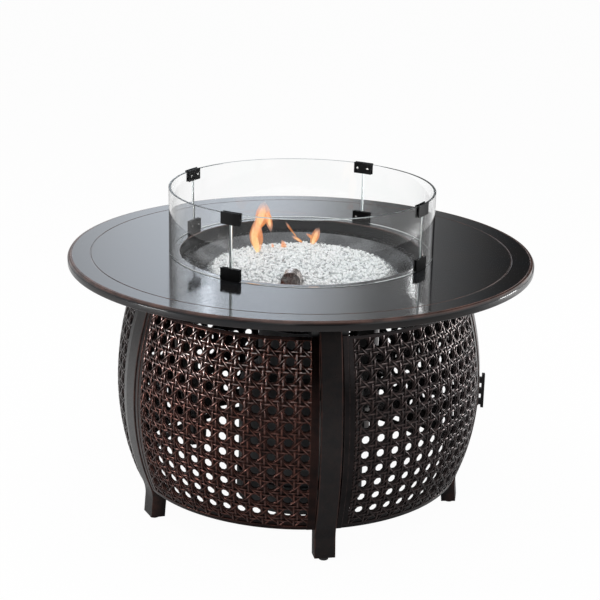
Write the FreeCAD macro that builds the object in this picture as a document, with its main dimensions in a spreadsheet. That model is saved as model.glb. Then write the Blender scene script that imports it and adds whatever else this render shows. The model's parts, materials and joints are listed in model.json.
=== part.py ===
import FreeCAD, Part

# A round gas fire pit table: a metal tabletop with a fire bowl and a clear wind guard, carried
# by five curved posts. Cast cane-pattern panels stand between the posts, and one is a door.
# Millimetres, +Z up. The origin is on the floor under the middle, and the front post is at -Y.
# An azimuth is counted from -Y towards +X. A piece is drawn with its outward side along +X
# and then turned to its azimuth.

import math
import os

import Sketcher

SIZES = {
    "top_radius": 559, "top_height": 630, "top_sheet": 4, "rim_depth": 21, "rim_wall": 5,
    "rim_round": 3, "groove_radius": 503, "groove_width": 3, "groove_depth": 1.2,
    "opening_radius": 292, "collar_wall": 4, "collar_depth": 33, "ledge_radius": 276,
    "ledge_sheet": 3,
    "rib_inner": 346, "rib_outer": 358, "ring_inner": 343, "ring_outer": 384,
    "ring_sheet": 4, "ring_top": 616, "table_bolt_circle": 352, "post_bolt_circle": 369,
    "table_bolt_count": 10, "bolt_radius": 3, "bolt_head": 5.6, "bolt_head_depth": 4,
    "bolt_hole": 3.2, "table_bolt_depth": 8, "post_bolt_depth": 14,
    "barrel_radius": 444.5, "barrel_middle": 305, "lower_arc": 610, "upper_arc": 740,
    "post_count": 5, "post_width": 49, "post_depth": 35, "post_wall": 3, "post_proud": 2,
    "bend_height": 86, "bend_arc": 75, "foot_splay": 5, "foot_height": 9.5,
    "glide_radius": 11, "glide_depth": 9.5, "plug_width": 42.6, "plug_length": 27,
    "plug_height": 10, "post_plug": 10,
    "hoop_outer": 366.7, "hoop_wall": 4, "hoop_bottom": 72, "hoop_depth": 14,
    "panel_bottom": 81, "panel_top": 545, "panel_sheet": 7, "panel_angle": 64.8,
    "door_angle": 64.4, "weave_start": -28.1, "weave_pitch": 4.927, "weave_count": 12,
    "weave_low": 110, "weave_hole": 9.6,
    "bracket_sheet": 2, "bracket_leg": 16, "bracket_height": 24, "bracket_low": 190,
    "bracket_middle": 404, "bracket_high": 534, "bracket_lean": 7, "bracket_gap": 0.4,
    "bracket_screw": 4, "bracket_screw_depth": 2.5, "bracket_screw_side": 9,
    "bracket_screw_rise": 8,
    "pan_flange": 290, "pan_mouth": 268, "pan_floor_radius": 238, "pan_floor": 572,
    "pan_sheet": 2, "pan_hole": 12, "pan_draft": 1,
    "burner_ring_radius": 130, "burner_tube": 9, "burner_hub": 16, "burner_hub_depth": 18,
    "burner_lift": 1, "spoke_radius": 7, "spoke_count": 3, "spoke_start": 30,
    "inlet_radius": 10, "inlet_bottom": 528, "inlet_overlap": 4, "burner_clearance": 0.4,
    "bed_radius": 226, "bed_edge": 583, "bed_crown": 607,
    "hood_azimuth": -17, "hood_inner": 146, "hood_outer": 184, "hood_width": 46,
    "hood_top": 625, "hood_sheet": 1.5, "hood_slant": 10, "hood_clearance": 1,
    "electrode_radius": 3.5, "electrode_top": 604, "electrode_tip": 1.2,
    "electrode_tip_length": 12,
    "guard_radius": 318.7, "glass_sheet": 6, "guard_bottom": 630.3, "guard_height": 155,
    "glass_gap": 3, "guard_azimuth": -39.5, "guard_count": 4,
    "clip_width": 50, "clip_height": 28, "clip_sheet": 2.5, "clip_gap": 0.4, "clip_web": 2.2,
    "clip_low": 630.6, "clip_high": 759.6, "clip_screw": 2.5, "clip_screw_spread": 14,
    "clip_screw_reach": 3.5, "clip_screw_gap": 0.3,
    "hinge_out": 452, "hinge_side": 27, "hinge_pin": 3, "hinge_clearance": 0.05,
    "knuckle_radius": 6, "knuckle_height": 16, "knuckle_gap": 0.5, "leaf_sheet": 3,
    "leaf_width": 15, "leaf_inset": 9, "low_hinge": 195, "high_hinge": 415,
    "door_leaf_reach": 16, "door_leaf_inset": 26,
    "magnet_width": 20, "magnet_depth": 16, "magnet_height": 34, "magnet_face": 431,
    "strike_depth": 12, "strike_width": 16, "strike_gap": 0.6, "strike_side": 5,
    "handle_azimuth": 76.9, "handle_low": 242, "handle_high": 329, "handle_stand": 16,
    "handle_bar_depth": 7, "handle_bar_width": 13, "handle_plate_low": 248,
    "handle_plate_high": 321, "handle_plate_sheet": 3.5, "handle_plate_width": 17,
    "handle_foot": 13, "handle_foot_inset": 2, "handle_plate_block": 30,
    "tank_offset": 8, "tank_azimuth": 60, "tank_radius": 155, "tank_dish": 72,
    "tank_low": 12, "tank_straight": 200, "tank_wall": 3, "foot_ring_radius": 102,
    "foot_ring_depth": 46, "foot_ring_wall": 3, "seat_radius": 159, "seat_depth": 70,
    "seat_wall": 3, "seat_sheet": 3, "seat_gap": 2,
    "collar_radius": 108, "collar_sheet": 3, "collar_top": 448, "collar_open": 100,
    "collar_bottom": 200,
    "valve_radius": 16, "valve_top": 404, "valve_sink": 6, "outlet_height": 386,
    "outlet_reach": 26, "outlet_radius": 13, "wheel_radius": 30, "wheel_sheet": 14,
    "wheel_bottom": 414, "wheel_stem": 5, "wheel_stem_depth": 11, "wheel_stem_room": 12,
    "wheel_scallops": 8, "scallop_radius": 5, "scallop_out": 1.5,
    "nut_radius": 22, "nut_length": 34, "regulator_radius": 29, "regulator_length": 34,
    "barb_length": 18, "barb_radius": 7, "hose_radius": 5, "hose_lead": 62, "hose_rise": 68,
    "control_azimuth": 108, "control_face": 340, "control_width": 150, "control_low": 508,
    "control_sheet": 2.5, "control_flange": 38, "knob_height": 545, "knob_offset": 30,
    "knob_radius": 19, "knob_length": 22, "knob_gap": 2, "pointer_width": 5,
    "pointer_depth": 3, "pointer_inset": 2, "stem_radius": 4, "stem_length": 16,
    "stem_clearance": 0.05, "stem_hole": 5, "stem_end_gap": 1,
    "button_radius": 9, "button_clearance": 0.4, "button_stand": 9, "button_travel": 4,
    "button_stem": 10, "button_room": 12,
    "igniter_radius": 13, "igniter_length": 48,
    "gas_valve_width": 44, "gas_valve_height": 34, "gas_valve_depth": 42,
    "feed_height": 540, "feed_radius": 5, "inlet_port_length": 14, "inlet_port_radius": 8,
    "margin": 1, "wide": 1000,
}
NAMES = []


def make_sheet(doc):
    """The driving dimensions, one named cell for each."""
    sheet = doc.addObject("Spreadsheet::Sheet", "Sizes")
    for row, (name, value) in enumerate(SIZES.items(), start=1):
        sheet.set(f"A{row}", name)
        sheet.set(f"B{row}", str(value))
        sheet.setAlias(f"B{row}", name)
    doc.recompute()
    return sheet


def read(name):
    """A driving dimension as a number."""
    return float(DOC.getObject("Sizes").get(name))


def number(formula):
    """What a formula of driving dimensions comes to."""
    return float(DOC.getObject("Sizes").evalExpression(bind(formula)))


def bind(formula):
    """The formula with each driving dimension pointing at its cell."""
    words = []
    word = ""
    for letter in str(formula) + " ":
        if letter.isalnum() or letter in "_.":
            word += letter
        else:
            words.append(f"Sizes.{word}" if word in SIZES else word)
            words.append(letter)
            word = ""
    return "".join(words).strip()


def turned(azimuth, x=0.0, y=0.0, z=0.0):
    """Placement that turns a piece's outward side from +X to an azimuth."""
    spin = FreeCAD.Rotation(FreeCAD.Vector(0, 0, 1), azimuth - 90.0)
    return FreeCAD.Placement(FreeCAD.Vector(x, y, z), spin)


def keep(piece, name):
    """Names a finished sub-part and lists it for writing."""
    piece.Label = name
    NAMES.append((name, piece.Name))
    return piece


def set_sizes(piece, **formulas):
    """Binds properties of a piece to formulas of driving dimensions."""
    for name, formula in formulas.items():
        piece.setExpression(name, bind(formula))


def set_base(piece, x=0, y=0, z=0):
    """Binds a piece's place to formulas of driving dimensions."""
    for axis, formula in (("x", x), ("y", y), ("z", z)):
        piece.setExpression(f"Placement.Base.{axis}", bind(formula))


def box(length, width, height, x=0, y=0, z=0):
    """Box from a low corner x, y, z."""
    piece = DOC.addObject("Part::Box", "Block")
    set_sizes(piece, Length=length, Width=width, Height=height)
    set_base(piece, x, y, z)
    return piece


def cylinder(radius, height, x=0, y=0, z=0, along="Z"):
    """Cylinder whose first end is centred on x, y, z."""
    piece = DOC.addObject("Part::Cylinder", "Round")
    set_sizes(piece, Radius=radius, Height=height)
    tilts = {"Z": (FreeCAD.Vector(0, 0, 1), 0), "X": (FreeCAD.Vector(0, 1, 0), 90)}
    piece.Placement = FreeCAD.Placement(FreeCAD.Vector(), FreeCAD.Rotation(*tilts[along]))
    set_base(piece, x, y, z)
    return piece


def hexagon(radius, height, x=0, y=0, z=0):
    """Hexagon prism, for a bolt head."""
    piece = DOC.addObject("Part::Prism", "Hexagon")
    piece.Polygon = 6
    set_sizes(piece, Circumradius=radius, Height=height)
    set_base(piece, x, y, z)
    return piece


def joined(pieces):
    """One solid from pieces that meet."""
    piece = DOC.addObject("Part::MultiFuse", "Joined")
    piece.Shapes = pieces
    piece.Refine = True
    return piece


def cut(base, tools):
    """Base without the tools."""
    piece = DOC.addObject("Part::Cut", "Trimmed")
    piece.Base = base
    piece.Tool = tools[0] if len(tools) == 1 else joined(tools)
    return piece


def group(pieces):
    """Separate solids that share one node."""
    piece = DOC.addObject("Part::Compound", "Group")
    piece.Links = pieces
    return piece


def ring(inner, outer, z, height):
    """Plain ring about the Z axis."""
    return cut(cylinder(outer, height, z=z), [cylinder(inner, height, z=z)])


def arc_plate(inner, outer, z, height, angle):
    """Stretch of a ring, centred on +X."""
    plate = cylinder(outer, height, z=z)
    set_sizes(plate, Angle=angle)
    plate.setExpression("Placement.Rotation.Angle", bind(f"-({angle}) / 2"))
    return cut(plate, [cylinder(inner, height, z=z)])


def new_body(name):
    """Empty body of its own."""
    return DOC.addObject("PartDesign::Body", name)


def new_sketch(body, role):
    """Sketch on one of a body's own planes."""
    sketch = body.newObject("Sketcher::SketchObject", "Outline")
    plane = next(item for item in body.Origin.OriginFeatures if item.Role == role)
    sketch.AttachmentSupport = [(plane, "")]
    sketch.MapMode = "FlatFace"
    return sketch


def draw_outline(sketch, corners):
    """Closed outline of straight sides through corners given as formulas."""
    points = [FreeCAD.Vector(number(x), number(y), 0) for x, y in corners]
    count = len(points)
    for index, point in enumerate(points):
        sketch.addGeometry(Part.LineSegment(point, points[(index + 1) % count]), False)
    for index in range(count):
        sketch.addConstraint(Sketcher.Constraint("Coincident", index, 2, (index + 1) % count, 1))
    for index, corner in enumerate(corners):
        for kind, formula in zip(("DistanceX", "DistanceY"), corner):
            rule = Sketcher.Constraint(kind, -1, 1, index, 1, number(formula))
            place = sketch.addConstraint(rule)
            sketch.setExpression(f"Constraints[{place}]", bind(formula))


def revolve(body, corners, kind="PartDesign::Revolution"):
    """Turns an outline of radius and height corners about the Z axis."""
    sketch = new_sketch(body, "XZ_Plane")
    draw_outline(sketch, corners)
    feature = body.newObject(kind, "Turned")
    feature.Profile = sketch
    feature.ReferenceAxis = (sketch, ["V_Axis"])
    feature.Angle = 360
    return feature


def extrude(body, corners, width, kind="PartDesign::Pad"):
    """Pads or pockets an outline of outward and height corners, evenly to both sides."""
    sketch = new_sketch(body, "XZ_Plane")
    draw_outline(sketch, corners)
    feature = body.newObject(kind, "Drawn")
    feature.Profile = sketch
    feature.SideType = "Symmetric"
    set_sizes(feature, Length=width)
    return feature


def drill_circle(body, circle, hole, depth, count, start=0):
    """Holes up from the floor plane, evenly spaced on a circle from a start angle."""
    sketch = new_sketch(body, "XY_Plane")
    across = f"{circle} * cos({start} deg)"
    along = f"{circle} * sin({start} deg)"
    centre = FreeCAD.Vector(number(across), number(along), 0)
    sketch.addGeometry(Part.Circle(centre, FreeCAD.Vector(0, 0, 1), number(hole)), False)
    for rule, formula in (
        (Sketcher.Constraint("DistanceX", -1, 1, 0, 3, number(across)), across),
        (Sketcher.Constraint("DistanceY", -1, 1, 0, 3, number(along)), along),
        (Sketcher.Constraint("Radius", 0, number(hole)), hole),
    ):
        place = sketch.addConstraint(rule)
        sketch.setExpression(f"Constraints[{place}]", bind(formula))
    pocket = body.newObject("PartDesign::Pocket", "Drilled")
    pocket.Profile = sketch
    pocket.Reversed = True
    set_sizes(pocket, Length=depth)
    pattern = body.newObject("PartDesign::PolarPattern", "Spaced")
    pattern.Originals = [pocket]
    pattern.Axis = (sketch, ["N_Axis"])
    pattern.Angle = 360
    set_sizes(pattern, Occurrences=count)
    body.Tip = pattern
    return pattern


def barrel(z, offset=0.0):
    """Outer radius of the barrel at a height, moved outward by an offset."""
    rise = z - read("barrel_middle")
    bow = read("upper_arc") if rise > 0 else read("lower_arc")
    centre = read("barrel_radius") - bow
    return centre + math.sqrt((bow + offset) ** 2 - rise ** 2)


def barrel_height(run):
    """Height of the point that lies a run along the barrel's outline from its middle."""
    bow = read("upper_arc") if run > 0 else read("lower_arc")
    return read("barrel_middle") + bow * math.sin(run / bow)


def barrel_run(z):
    """Run along the barrel's outline from its middle to a height."""
    rise = z - read("barrel_middle")
    bow = read("upper_arc") if rise > 0 else read("lower_arc")
    return bow * math.asin(rise / bow)


def barrel_inner(z):
    """Point one panel thickness inside the outline at a height, square to it."""
    rise = z - read("barrel_middle")
    bow = read("upper_arc") if rise > 0 else read("lower_arc")
    sheet = read("panel_sheet")
    radius = barrel(z)
    flat = (radius - read("barrel_radius") + bow) / bow
    return radius - sheet * flat, z - sheet * rise / bow


def side_arc(centre, bow, start, end):
    """Arc in the X-Z plane about a centre, between two angles from +X in radians."""
    def point(angle):
        return FreeCAD.Vector(centre[0] + bow * math.cos(angle), 0, centre[1] + bow * math.sin(angle))
    return Part.Arc(point(start), point((start + end) / 2), point(end)).toShape()


def post_side(inset):
    """Edges down one face of a post, moved inward from its outer face by an inset."""
    middle = read("barrel_middle")
    proud = read("post_proud") - inset
    widest = read("barrel_radius")
    upper = read("upper_arc")
    lower = read("lower_arc")
    top_angle = math.asin((read("ring_top") - read("ring_sheet") - middle) / (upper + proud))
    bend_angle = math.asin((read("bend_height") - middle) / (lower + read("post_proud")))
    splay = math.radians(read("foot_splay"))
    bend = read("bend_arc")
    reach = lower + read("post_proud") + bend
    bend_centre = (widest - lower + reach * math.cos(bend_angle), middle + reach * math.sin(bend_angle))
    small = bend + inset
    edges = [
        side_arc((widest - upper, middle), upper + proud, top_angle, 0.0),
        side_arc((widest - lower, middle), lower + proud, 0.0, bend_angle),
        side_arc(bend_centre, small, math.pi + bend_angle, math.pi + splay),
    ]
    ankle = edges[-1].Vertexes[-1].Point
    drop = ankle.z - read("foot_height")
    foot = FreeCAD.Vector(ankle.x + drop * math.tan(splay), 0, read("foot_height"))
    edges.append(Part.LineSegment(ankle, foot).toShape())
    return edges


def post_prism(low_inset, high_inset, width):
    """Solid between two insets of the post's outline, centred across its width."""
    outer = post_side(low_inset)
    inner = post_side(high_inset)
    top = Part.LineSegment(inner[0].Vertexes[0].Point, outer[0].Vertexes[0].Point).toShape()
    foot = Part.LineSegment(outer[-1].Vertexes[-1].Point, inner[-1].Vertexes[-1].Point).toShape()
    face = Part.Face(Part.Wire(Part.__sortEdges__(outer + inner + [top, foot])))
    face.translate(FreeCAD.Vector(0, -width / 2, 0))
    return face.extrude(FreeCAD.Vector(0, width, 0))


def make_posts():
    """Curved box-section posts, open at the foot and plugged at the top."""
    wall = read("post_wall")
    tube = post_prism(0.0, read("post_depth"), read("post_width"))
    hollow = post_prism(wall, read("post_depth") - wall, read("post_width") - 2 * wall)
    plug_low = read("ring_top") - read("ring_sheet") - read("post_plug")
    wide = read("wide")
    below = Part.makeBox(wide, wide, plug_low, FreeCAD.Vector(0, -wide / 2, 0))
    bolt = Part.makeCylinder(read("bolt_radius"), read("post_bolt_depth") + read("margin"))
    bolt.translate(FreeCAD.Vector(read("post_bolt_circle"), 0, plug_low - read("margin")))
    shape = tube.cut(hollow.common(below)).cut(bolt)
    for index in range(int(read("post_count"))):
        post = DOC.addObject("Part::Feature", "Post")
        post.Shape = shape
        post.Placement = turned(index * 360.0 / read("post_count"))
        keep(post, f"post_{index + 1}")


def make_glides():
    """Round foot glides, each on a plug that fills the open foot of its post."""
    foot = post_side(read("post_depth") / 2)[-1].Vertexes[-1].Point
    for index in range(int(read("post_count"))):
        pad = cylinder("glide_radius", "glide_depth")
        plug = box("plug_length", "plug_width", "plug_height", "-plug_length / 2",
                   "-plug_width / 2", "glide_depth")
        glide = joined([pad, plug])
        place = turned(index * 360.0 / read("post_count"))
        glide.Placement = FreeCAD.Placement(place.multVec(FreeCAD.Vector(foot.x, 0, 0)), place.Rotation)
        keep(glide, f"foot_glide_{index + 1}")


def panel_shape(angle):
    """Cast panel of flat facets on the barrel, with an eight-sided hole in each weave cell."""
    pitch = read("weave_pitch")
    columns = [-angle / 2]
    columns += [read("weave_start") + step * pitch for step in range(int(read("weave_count")) + 1)]
    columns.append(angle / 2)
    low = barrel_run(read("weave_low"))
    high = barrel_run(read("panel_top"))
    rows = [read("panel_bottom")]
    steps = int(read("weave_count"))
    rows += [barrel_height(low + (high - low) * step / steps) for step in range(steps + 1)]
    outer = [(barrel(z), z) for z in rows]
    inner = [barrel_inner(z) for z in rows]

    def node(points, row, column):
        radius, z = points[row]
        turn = math.radians(columns[column])
        return FreeCAD.Vector(radius * math.cos(turn), radius * math.sin(turn), z)

    def facet(points, row, column):
        return [node(points, row, column), node(points, row, column + 1),
                node(points, row + 1, column + 1), node(points, row + 1, column)]

    faces = []
    for row in range(len(rows) - 1):
        for column in range(len(columns) - 1):
            front = facet(outer, row, column)
            back = facet(inner, row, column)
            if row > 0 and 0 < column < len(columns) - 2:
                faces += pierced_cell(front, back)
            else:
                faces += [plate(front), plate(back)]
    for column in range(len(columns) - 1):
        for row in (0, len(rows) - 1):
            faces.append(plate([node(outer, row, column), node(outer, row, column + 1),
                                node(inner, row, column + 1), node(inner, row, column)]))
    for column in (0, len(columns) - 1):
        climb = [node(outer, row, column) for row in range(len(rows))]
        fall = [node(inner, row, column) for row in reversed(range(len(rows)))]
        faces.append(plate(climb + fall))
    shell = Part.makeShell(faces)
    shell.sewShape()
    solid = Part.makeSolid(Part.Shell(shell.Faces))
    if solid.Volume < 0:
        solid.reverse()
    return solid


def plate(corners):
    """Flat face through corners."""
    return Part.Face(Part.makePolygon(corners + corners[:1]))


def pierced_cell(front, back):
    """Faces of one weave cell: its two pierced facets and the eight walls of its hole."""
    middle = (front[0] + front[1] + front[2] + front[3]) * 0.25
    across = (front[1] - front[0]).normalize()
    normal = across.cross(front[3] - front[0]).normalize()
    upward = normal.cross(across)
    back_normal = (back[1] - back[0]).cross(back[3] - back[0]).normalize()
    reach = read("weave_hole") / math.cos(math.pi / 8)
    rim = []
    for corner in range(8):
        turn = math.pi / 8 + corner * math.pi / 4
        rim.append(middle + across * (reach * math.cos(turn)) + upward * (reach * math.sin(turn)))
    floor = []
    for point in rim:
        depth = (back[0] - point).dot(back_normal) / normal.dot(back_normal)
        floor.append(point + normal * depth)
    walls = []
    for corner in range(8):
        after = (corner + 1) % 8
        walls.append(plate([rim[corner], rim[after], floor[after], floor[corner]]))
    return [pierced_plate(front, rim), pierced_plate(back, floor)] + walls


def pierced_plate(corners, hole):
    """Flat face with a hole, whose rim runs the other way round."""
    edge = Part.makePolygon(corners + corners[:1])
    rim = Part.makePolygon([hole[0]] + hole[::-1])
    return Part.Face([edge, rim])


def panel_azimuth(index):
    """Azimuth of the middle of the panel that follows a post."""
    return (index + 0.5) * 360.0 / read("post_count")


def make_panels():
    """Four fixed cane-pattern panels and the door, which is cut a little narrower."""
    fixed = panel_shape(read("panel_angle"))
    door = panel_shape(read("door_angle"))
    door_index = 1
    number_used = 0
    for index in range(int(read("post_count"))):
        panel = DOC.addObject("Part::Feature", "Panel")
        panel.Shape = door if index == door_index else fixed
        panel.Placement = turned(panel_azimuth(index))
        if index == door_index:
            keep(panel, "door_panel")
        else:
            number_used += 1
            keep(panel, f"cane_panel_{number_used}")


def bracket_places():
    """Azimuth, side and low height of each bracket between a post and a fixed panel."""
    places = []
    count = int(read("post_count"))
    for index in range(count):
        for side in (-1, 1):
            by_door = (index == 1 and side == 1) or (index == 2 and side == -1)
            if by_door:
                continue
            for low in ("bracket_low", "bracket_middle", "bracket_high"):
                places.append((index * 360.0 / count, side, read(low)))
    return places


def make_brackets():
    """Angle brackets behind the panels, and the screws that hold the panels to them."""
    sheet = read("bracket_sheet")
    leg = read("bracket_leg")
    height = read("bracket_height")
    half = read("post_width") / 2
    depth = read("bracket_screw_depth")
    brackets = []
    screws = []
    for azimuth, side, low in bracket_places():
        back = min(barrel_inner(low)[0], barrel_inner(min(low + height, read("panel_top")))[0])
        outer_face = back * math.cos(math.radians(read("bracket_lean"))) + read("bracket_gap")
        side_leg = Part.makeBox(leg, sheet, height, FreeCAD.Vector(outer_face - leg, half, low))
        back_leg = Part.makeBox(sheet, leg, height, FreeCAD.Vector(outer_face - sheet, half, low))
        seat = FreeCAD.Vector(outer_face - sheet - depth, half + read("bracket_screw_side"),
                              low + read("bracket_screw_rise"))
        head = Part.makeCylinder(read("bracket_screw"), depth, seat, FreeCAD.Vector(1, 0, 0))
        pieces = [side_leg.fuse(back_leg).removeSplitter(), head]
        if side < 0:
            pieces = [piece.mirror(FreeCAD.Vector(), FreeCAD.Vector(0, 1, 0)) for piece in pieces]
        for piece in pieces:
            piece.Placement = turned(azimuth).multiply(piece.Placement)
        brackets.append(pieces[0])
        screws.append(pieces[1])
    for shapes, name in ((brackets, "panel_brackets"), (screws, "bracket_screws")):
        node = DOC.addObject("Part::Feature", "Fasteners")
        node.Shape = Part.makeCompound(shapes)
        keep(node, name)


def make_tabletop():
    """Round top with a rolled rim, an engraved ring, a collar and ledge for the fire bowl."""
    body = new_body("Top")
    under = "top_height - top_sheet"
    low = "top_height - collar_depth"
    revolve(body, [
        ("opening_radius", "top_height"), ("top_radius", "top_height"),
        ("top_radius", "top_height - rim_depth"),
        ("top_radius - rim_wall", "top_height - rim_depth"),
        ("top_radius - rim_wall", under), ("rib_outer", under), ("rib_outer", "ring_top"),
        ("rib_inner", "ring_top"), ("rib_inner", under),
        ("opening_radius + collar_wall", under), ("opening_radius + collar_wall", low),
        ("ledge_radius", low), ("ledge_radius", f"{low} + ledge_sheet"),
        ("opening_radius", f"{low} + ledge_sheet"),
    ])
    revolve(body, [
        ("groove_radius", "top_height - groove_depth"),
        ("groove_radius + groove_width", "top_height - groove_depth"),
        ("groove_radius + groove_width", "top_height + margin"),
        ("groove_radius", "top_height + margin"),
    ], "PartDesign::Groove")
    drilled = drill_circle(body, "table_bolt_circle", "bolt_radius",
                           "ring_top + table_bolt_depth", "table_bolt_count")
    DOC.recompute()
    rims = []
    for index, edge in enumerate(drilled.Shape.Edges, start=1):
        curve = edge.Curve
        if isinstance(curve, Part.Circle) and abs(curve.Radius - read("top_radius")) < 0.01:
            rims.append(f"Edge{index}")
    rounded = body.newObject("PartDesign::Fillet", "Rounded")
    rounded.Base = (drilled, rims)
    set_sizes(rounded, Radius="rim_round")
    body.Tip = rounded
    keep(body, "tabletop")


def make_top_ring():
    """Flat ring on the posts, drilled for the bolts up into the top and down into the posts."""
    body = new_body("Ring")
    low = "ring_top - ring_sheet"
    revolve(body, [("ring_inner", low), ("ring_outer", low), ("ring_outer", "ring_top"),
                   ("ring_inner", "ring_top")])
    drill_circle(body, "table_bolt_circle", "bolt_hole", "ring_top + margin", "table_bolt_count")
    drill_circle(body, "post_bolt_circle", "bolt_hole", "ring_top + margin", "post_count", start=270)
    keep(body, "top_ring")


def make_bolts():
    """Bolts up into the tabletop, and bolts down through the ring into the posts."""
    under = "ring_top - ring_sheet"
    table = []
    for index in range(int(read("table_bolt_count"))):
        head = hexagon("bolt_head", "bolt_head_depth", "table_bolt_circle", 0,
                       f"{under} - bolt_head_depth")
        shank = cylinder("bolt_radius", "ring_sheet + table_bolt_depth", "table_bolt_circle", 0, under)
        bolt = joined([head, shank])
        bolt.Placement = turned(90.0 + index * 360.0 / read("table_bolt_count"))
        table.append(bolt)
    keep(group(table), "table_bolts")
    posts = []
    for index in range(int(read("post_count"))):
        head = hexagon("bolt_head", "bolt_head_depth", "post_bolt_circle", 0, "ring_top")
        shank = cylinder("bolt_radius", "ring_sheet + post_plug", "post_bolt_circle", 0,
                         f"{under} - post_plug")
        bolt = joined([head, shank])
        bolt.Placement = turned(index * 360.0 / read("post_count"))
        posts.append(bolt)
    keep(group(posts), "post_bolts")


def make_hoop():
    """Hoop that ties the posts together low down, inside the panels."""
    keep(ring("hoop_outer - hoop_wall", "hoop_outer", "hoop_bottom", "hoop_depth"), "bottom_hoop")


def make_pan():
    """Fire bowl: a flange on the ledge, a sloping wall and a flat floor with the inlet hole."""
    body = new_body("Bowl")
    shelf = "top_height - collar_depth + ledge_sheet"
    revolve(body, [
        ("pan_flange", f"{shelf} + pan_sheet"), ("pan_mouth", f"{shelf} + pan_sheet"),
        ("pan_floor_radius", "pan_floor"), ("pan_hole", "pan_floor"),
        ("pan_hole", "pan_floor - pan_sheet"),
        ("pan_floor_radius - pan_draft", "pan_floor - pan_sheet"),
        ("pan_mouth - pan_draft", shelf), ("pan_flange", shelf),
    ])
    keep(body, "fire_bowl")


def burner_pieces(extra):
    """Pieces of the ring burner, each made larger by an extra."""
    level = "pan_floor + burner_tube + burner_lift"
    hoop = DOC.addObject("Part::Torus", "Hoop")
    set_sizes(hoop, Radius1="burner_ring_radius", Radius2=f"burner_tube + {extra}")
    set_base(hoop, z=level)
    pieces = [hoop, cylinder(f"burner_hub + {extra}", f"burner_hub_depth + 2 * {extra}",
                             z=f"pan_floor - {extra}")]
    for index in range(int(read("spoke_count"))):
        spoke = cylinder(f"spoke_radius + {extra}", "burner_ring_radius", z=level, along="X")
        arm = group([spoke])
        arm.Placement = turned(read("spoke_start") + index * 360.0 / read("spoke_count"))
        pieces.append(arm)
    return pieces


def make_burner():
    """Ring burner on three spokes, with the inlet that drops through the bowl's floor."""
    inlet = cylinder("inlet_radius", "pan_floor + inlet_overlap - inlet_bottom", z="inlet_bottom")
    port = cylinder("feed_radius", "inlet_radius + margin", z="feed_height", along="X")
    turned_port = group([port])
    turned_port.Placement = turned(read("control_azimuth"))
    keep(cut(joined(burner_pieces("0") + [inlet]), [turned_port]), "burner_ring")


def make_bead_bed():
    """Crowned bed of glass beads, hollowed where the burner and the pilot hood stand."""
    half = "bed_radius"
    crown = "(bed_crown - bed_edge)"
    ball = DOC.addObject("Part::Sphere", "Crown")
    bow = f"(({half} * {half} + {crown} * {crown}) / (2 * {crown}))"
    set_sizes(ball, Radius=bow)
    set_base(ball, z=f"bed_crown - {bow}")
    drum = cylinder("bed_radius", "bed_crown - pan_floor", z="pan_floor")
    heap = DOC.addObject("Part::Common", "Heap")
    heap.Base = drum
    heap.Tool = ball
    gap = "hood_clearance"
    room = box(f"hood_outer - hood_inner + 2 * {gap}", f"hood_width + 2 * {gap}", "hood_top",
               f"hood_inner - {gap}", f"-hood_width / 2 - {gap}", "pan_floor - margin")
    hole = group([room])
    hole.Placement = turned(read("hood_azimuth"))
    bed = cut(heap, burner_pieces("burner_clearance") + [hole])
    keep(bed, "bead_bed")


def make_pilot():
    """Folded pilot hood, open below and towards the burner, with the spark electrode in it."""
    body = new_body("Hood")
    sheet = "hood_sheet"
    slope = "hood_slant"
    extrude(body, [
        ("hood_inner", "pan_floor"), ("hood_outer", "pan_floor"),
        ("hood_outer", f"hood_top - {slope}"), (f"hood_outer - {slope}", "hood_top"),
        (f"hood_inner + {slope}", "hood_top"), ("hood_inner", f"hood_top - {slope}"),
    ], "hood_width")
    extrude(body, [
        ("hood_inner - margin", "pan_floor - margin"),
        (f"hood_outer - {sheet}", "pan_floor - margin"),
        (f"hood_outer - {sheet}", f"hood_top - {slope} - {sheet}"),
        (f"hood_outer - {slope} - {sheet}", f"hood_top - {sheet}"),
        (f"hood_inner + {slope}", f"hood_top - {sheet}"),
        ("hood_inner - margin", f"hood_top - {slope} - 2 * {sheet}"),
    ], f"hood_width - 2 * {sheet}", "PartDesign::Pocket")
    body.Placement = turned(read("hood_azimuth"))
    keep(body, "pilot_hood")
    spot = "(hood_inner + hood_outer) / 2"
    stem = cylinder("electrode_radius", "electrode_top - pan_floor", spot, 0, "pan_floor")
    tip = cylinder("electrode_tip", "electrode_tip_length", spot, 0, "electrode_top")
    electrode = joined([stem, tip])
    electrode.Placement = turned(read("hood_azimuth"))
    keep(electrode, "spark_electrode")


def guard_azimuth(index):
    """Azimuth of the seam and clip that starts a pane."""
    return read("guard_azimuth") + index * 360.0 / read("guard_count")


def make_guard():
    """Wind guard: four curved panes, with clips over the seams at the foot and the top."""
    inner = "guard_radius - glass_sheet"
    full = math.degrees(read("glass_gap") / read("guard_radius"))
    span = 360.0 / read("guard_count") - full
    for index in range(int(read("guard_count"))):
        pane = arc_plate(inner, "guard_radius", "guard_bottom", "guard_height", span)
        pane.Placement = turned(guard_azimuth(index) + 180.0 / read("guard_count"))
        keep(pane, f"glass_pane_{index + 1}")
    for name, low in (("guard_clips_lower", "clip_low"), ("guard_clips_upper", "clip_high")):
        clips = []
        for index in range(int(read("guard_count"))):
            clip = guard_clip(low)
            clip.Placement = turned(guard_azimuth(index))
            clips.append(clip)
        keep(group(clips), name)
    screws = []
    for index in range(int(read("guard_count"))):
        for low in ("clip_low", "clip_high"):
            for side in (-1, 1):
                screw = clip_screw(low, side)
                screw.Placement = turned(guard_azimuth(index))
                screws.append(screw)
    keep(group(screws), "clip_screws")


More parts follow.
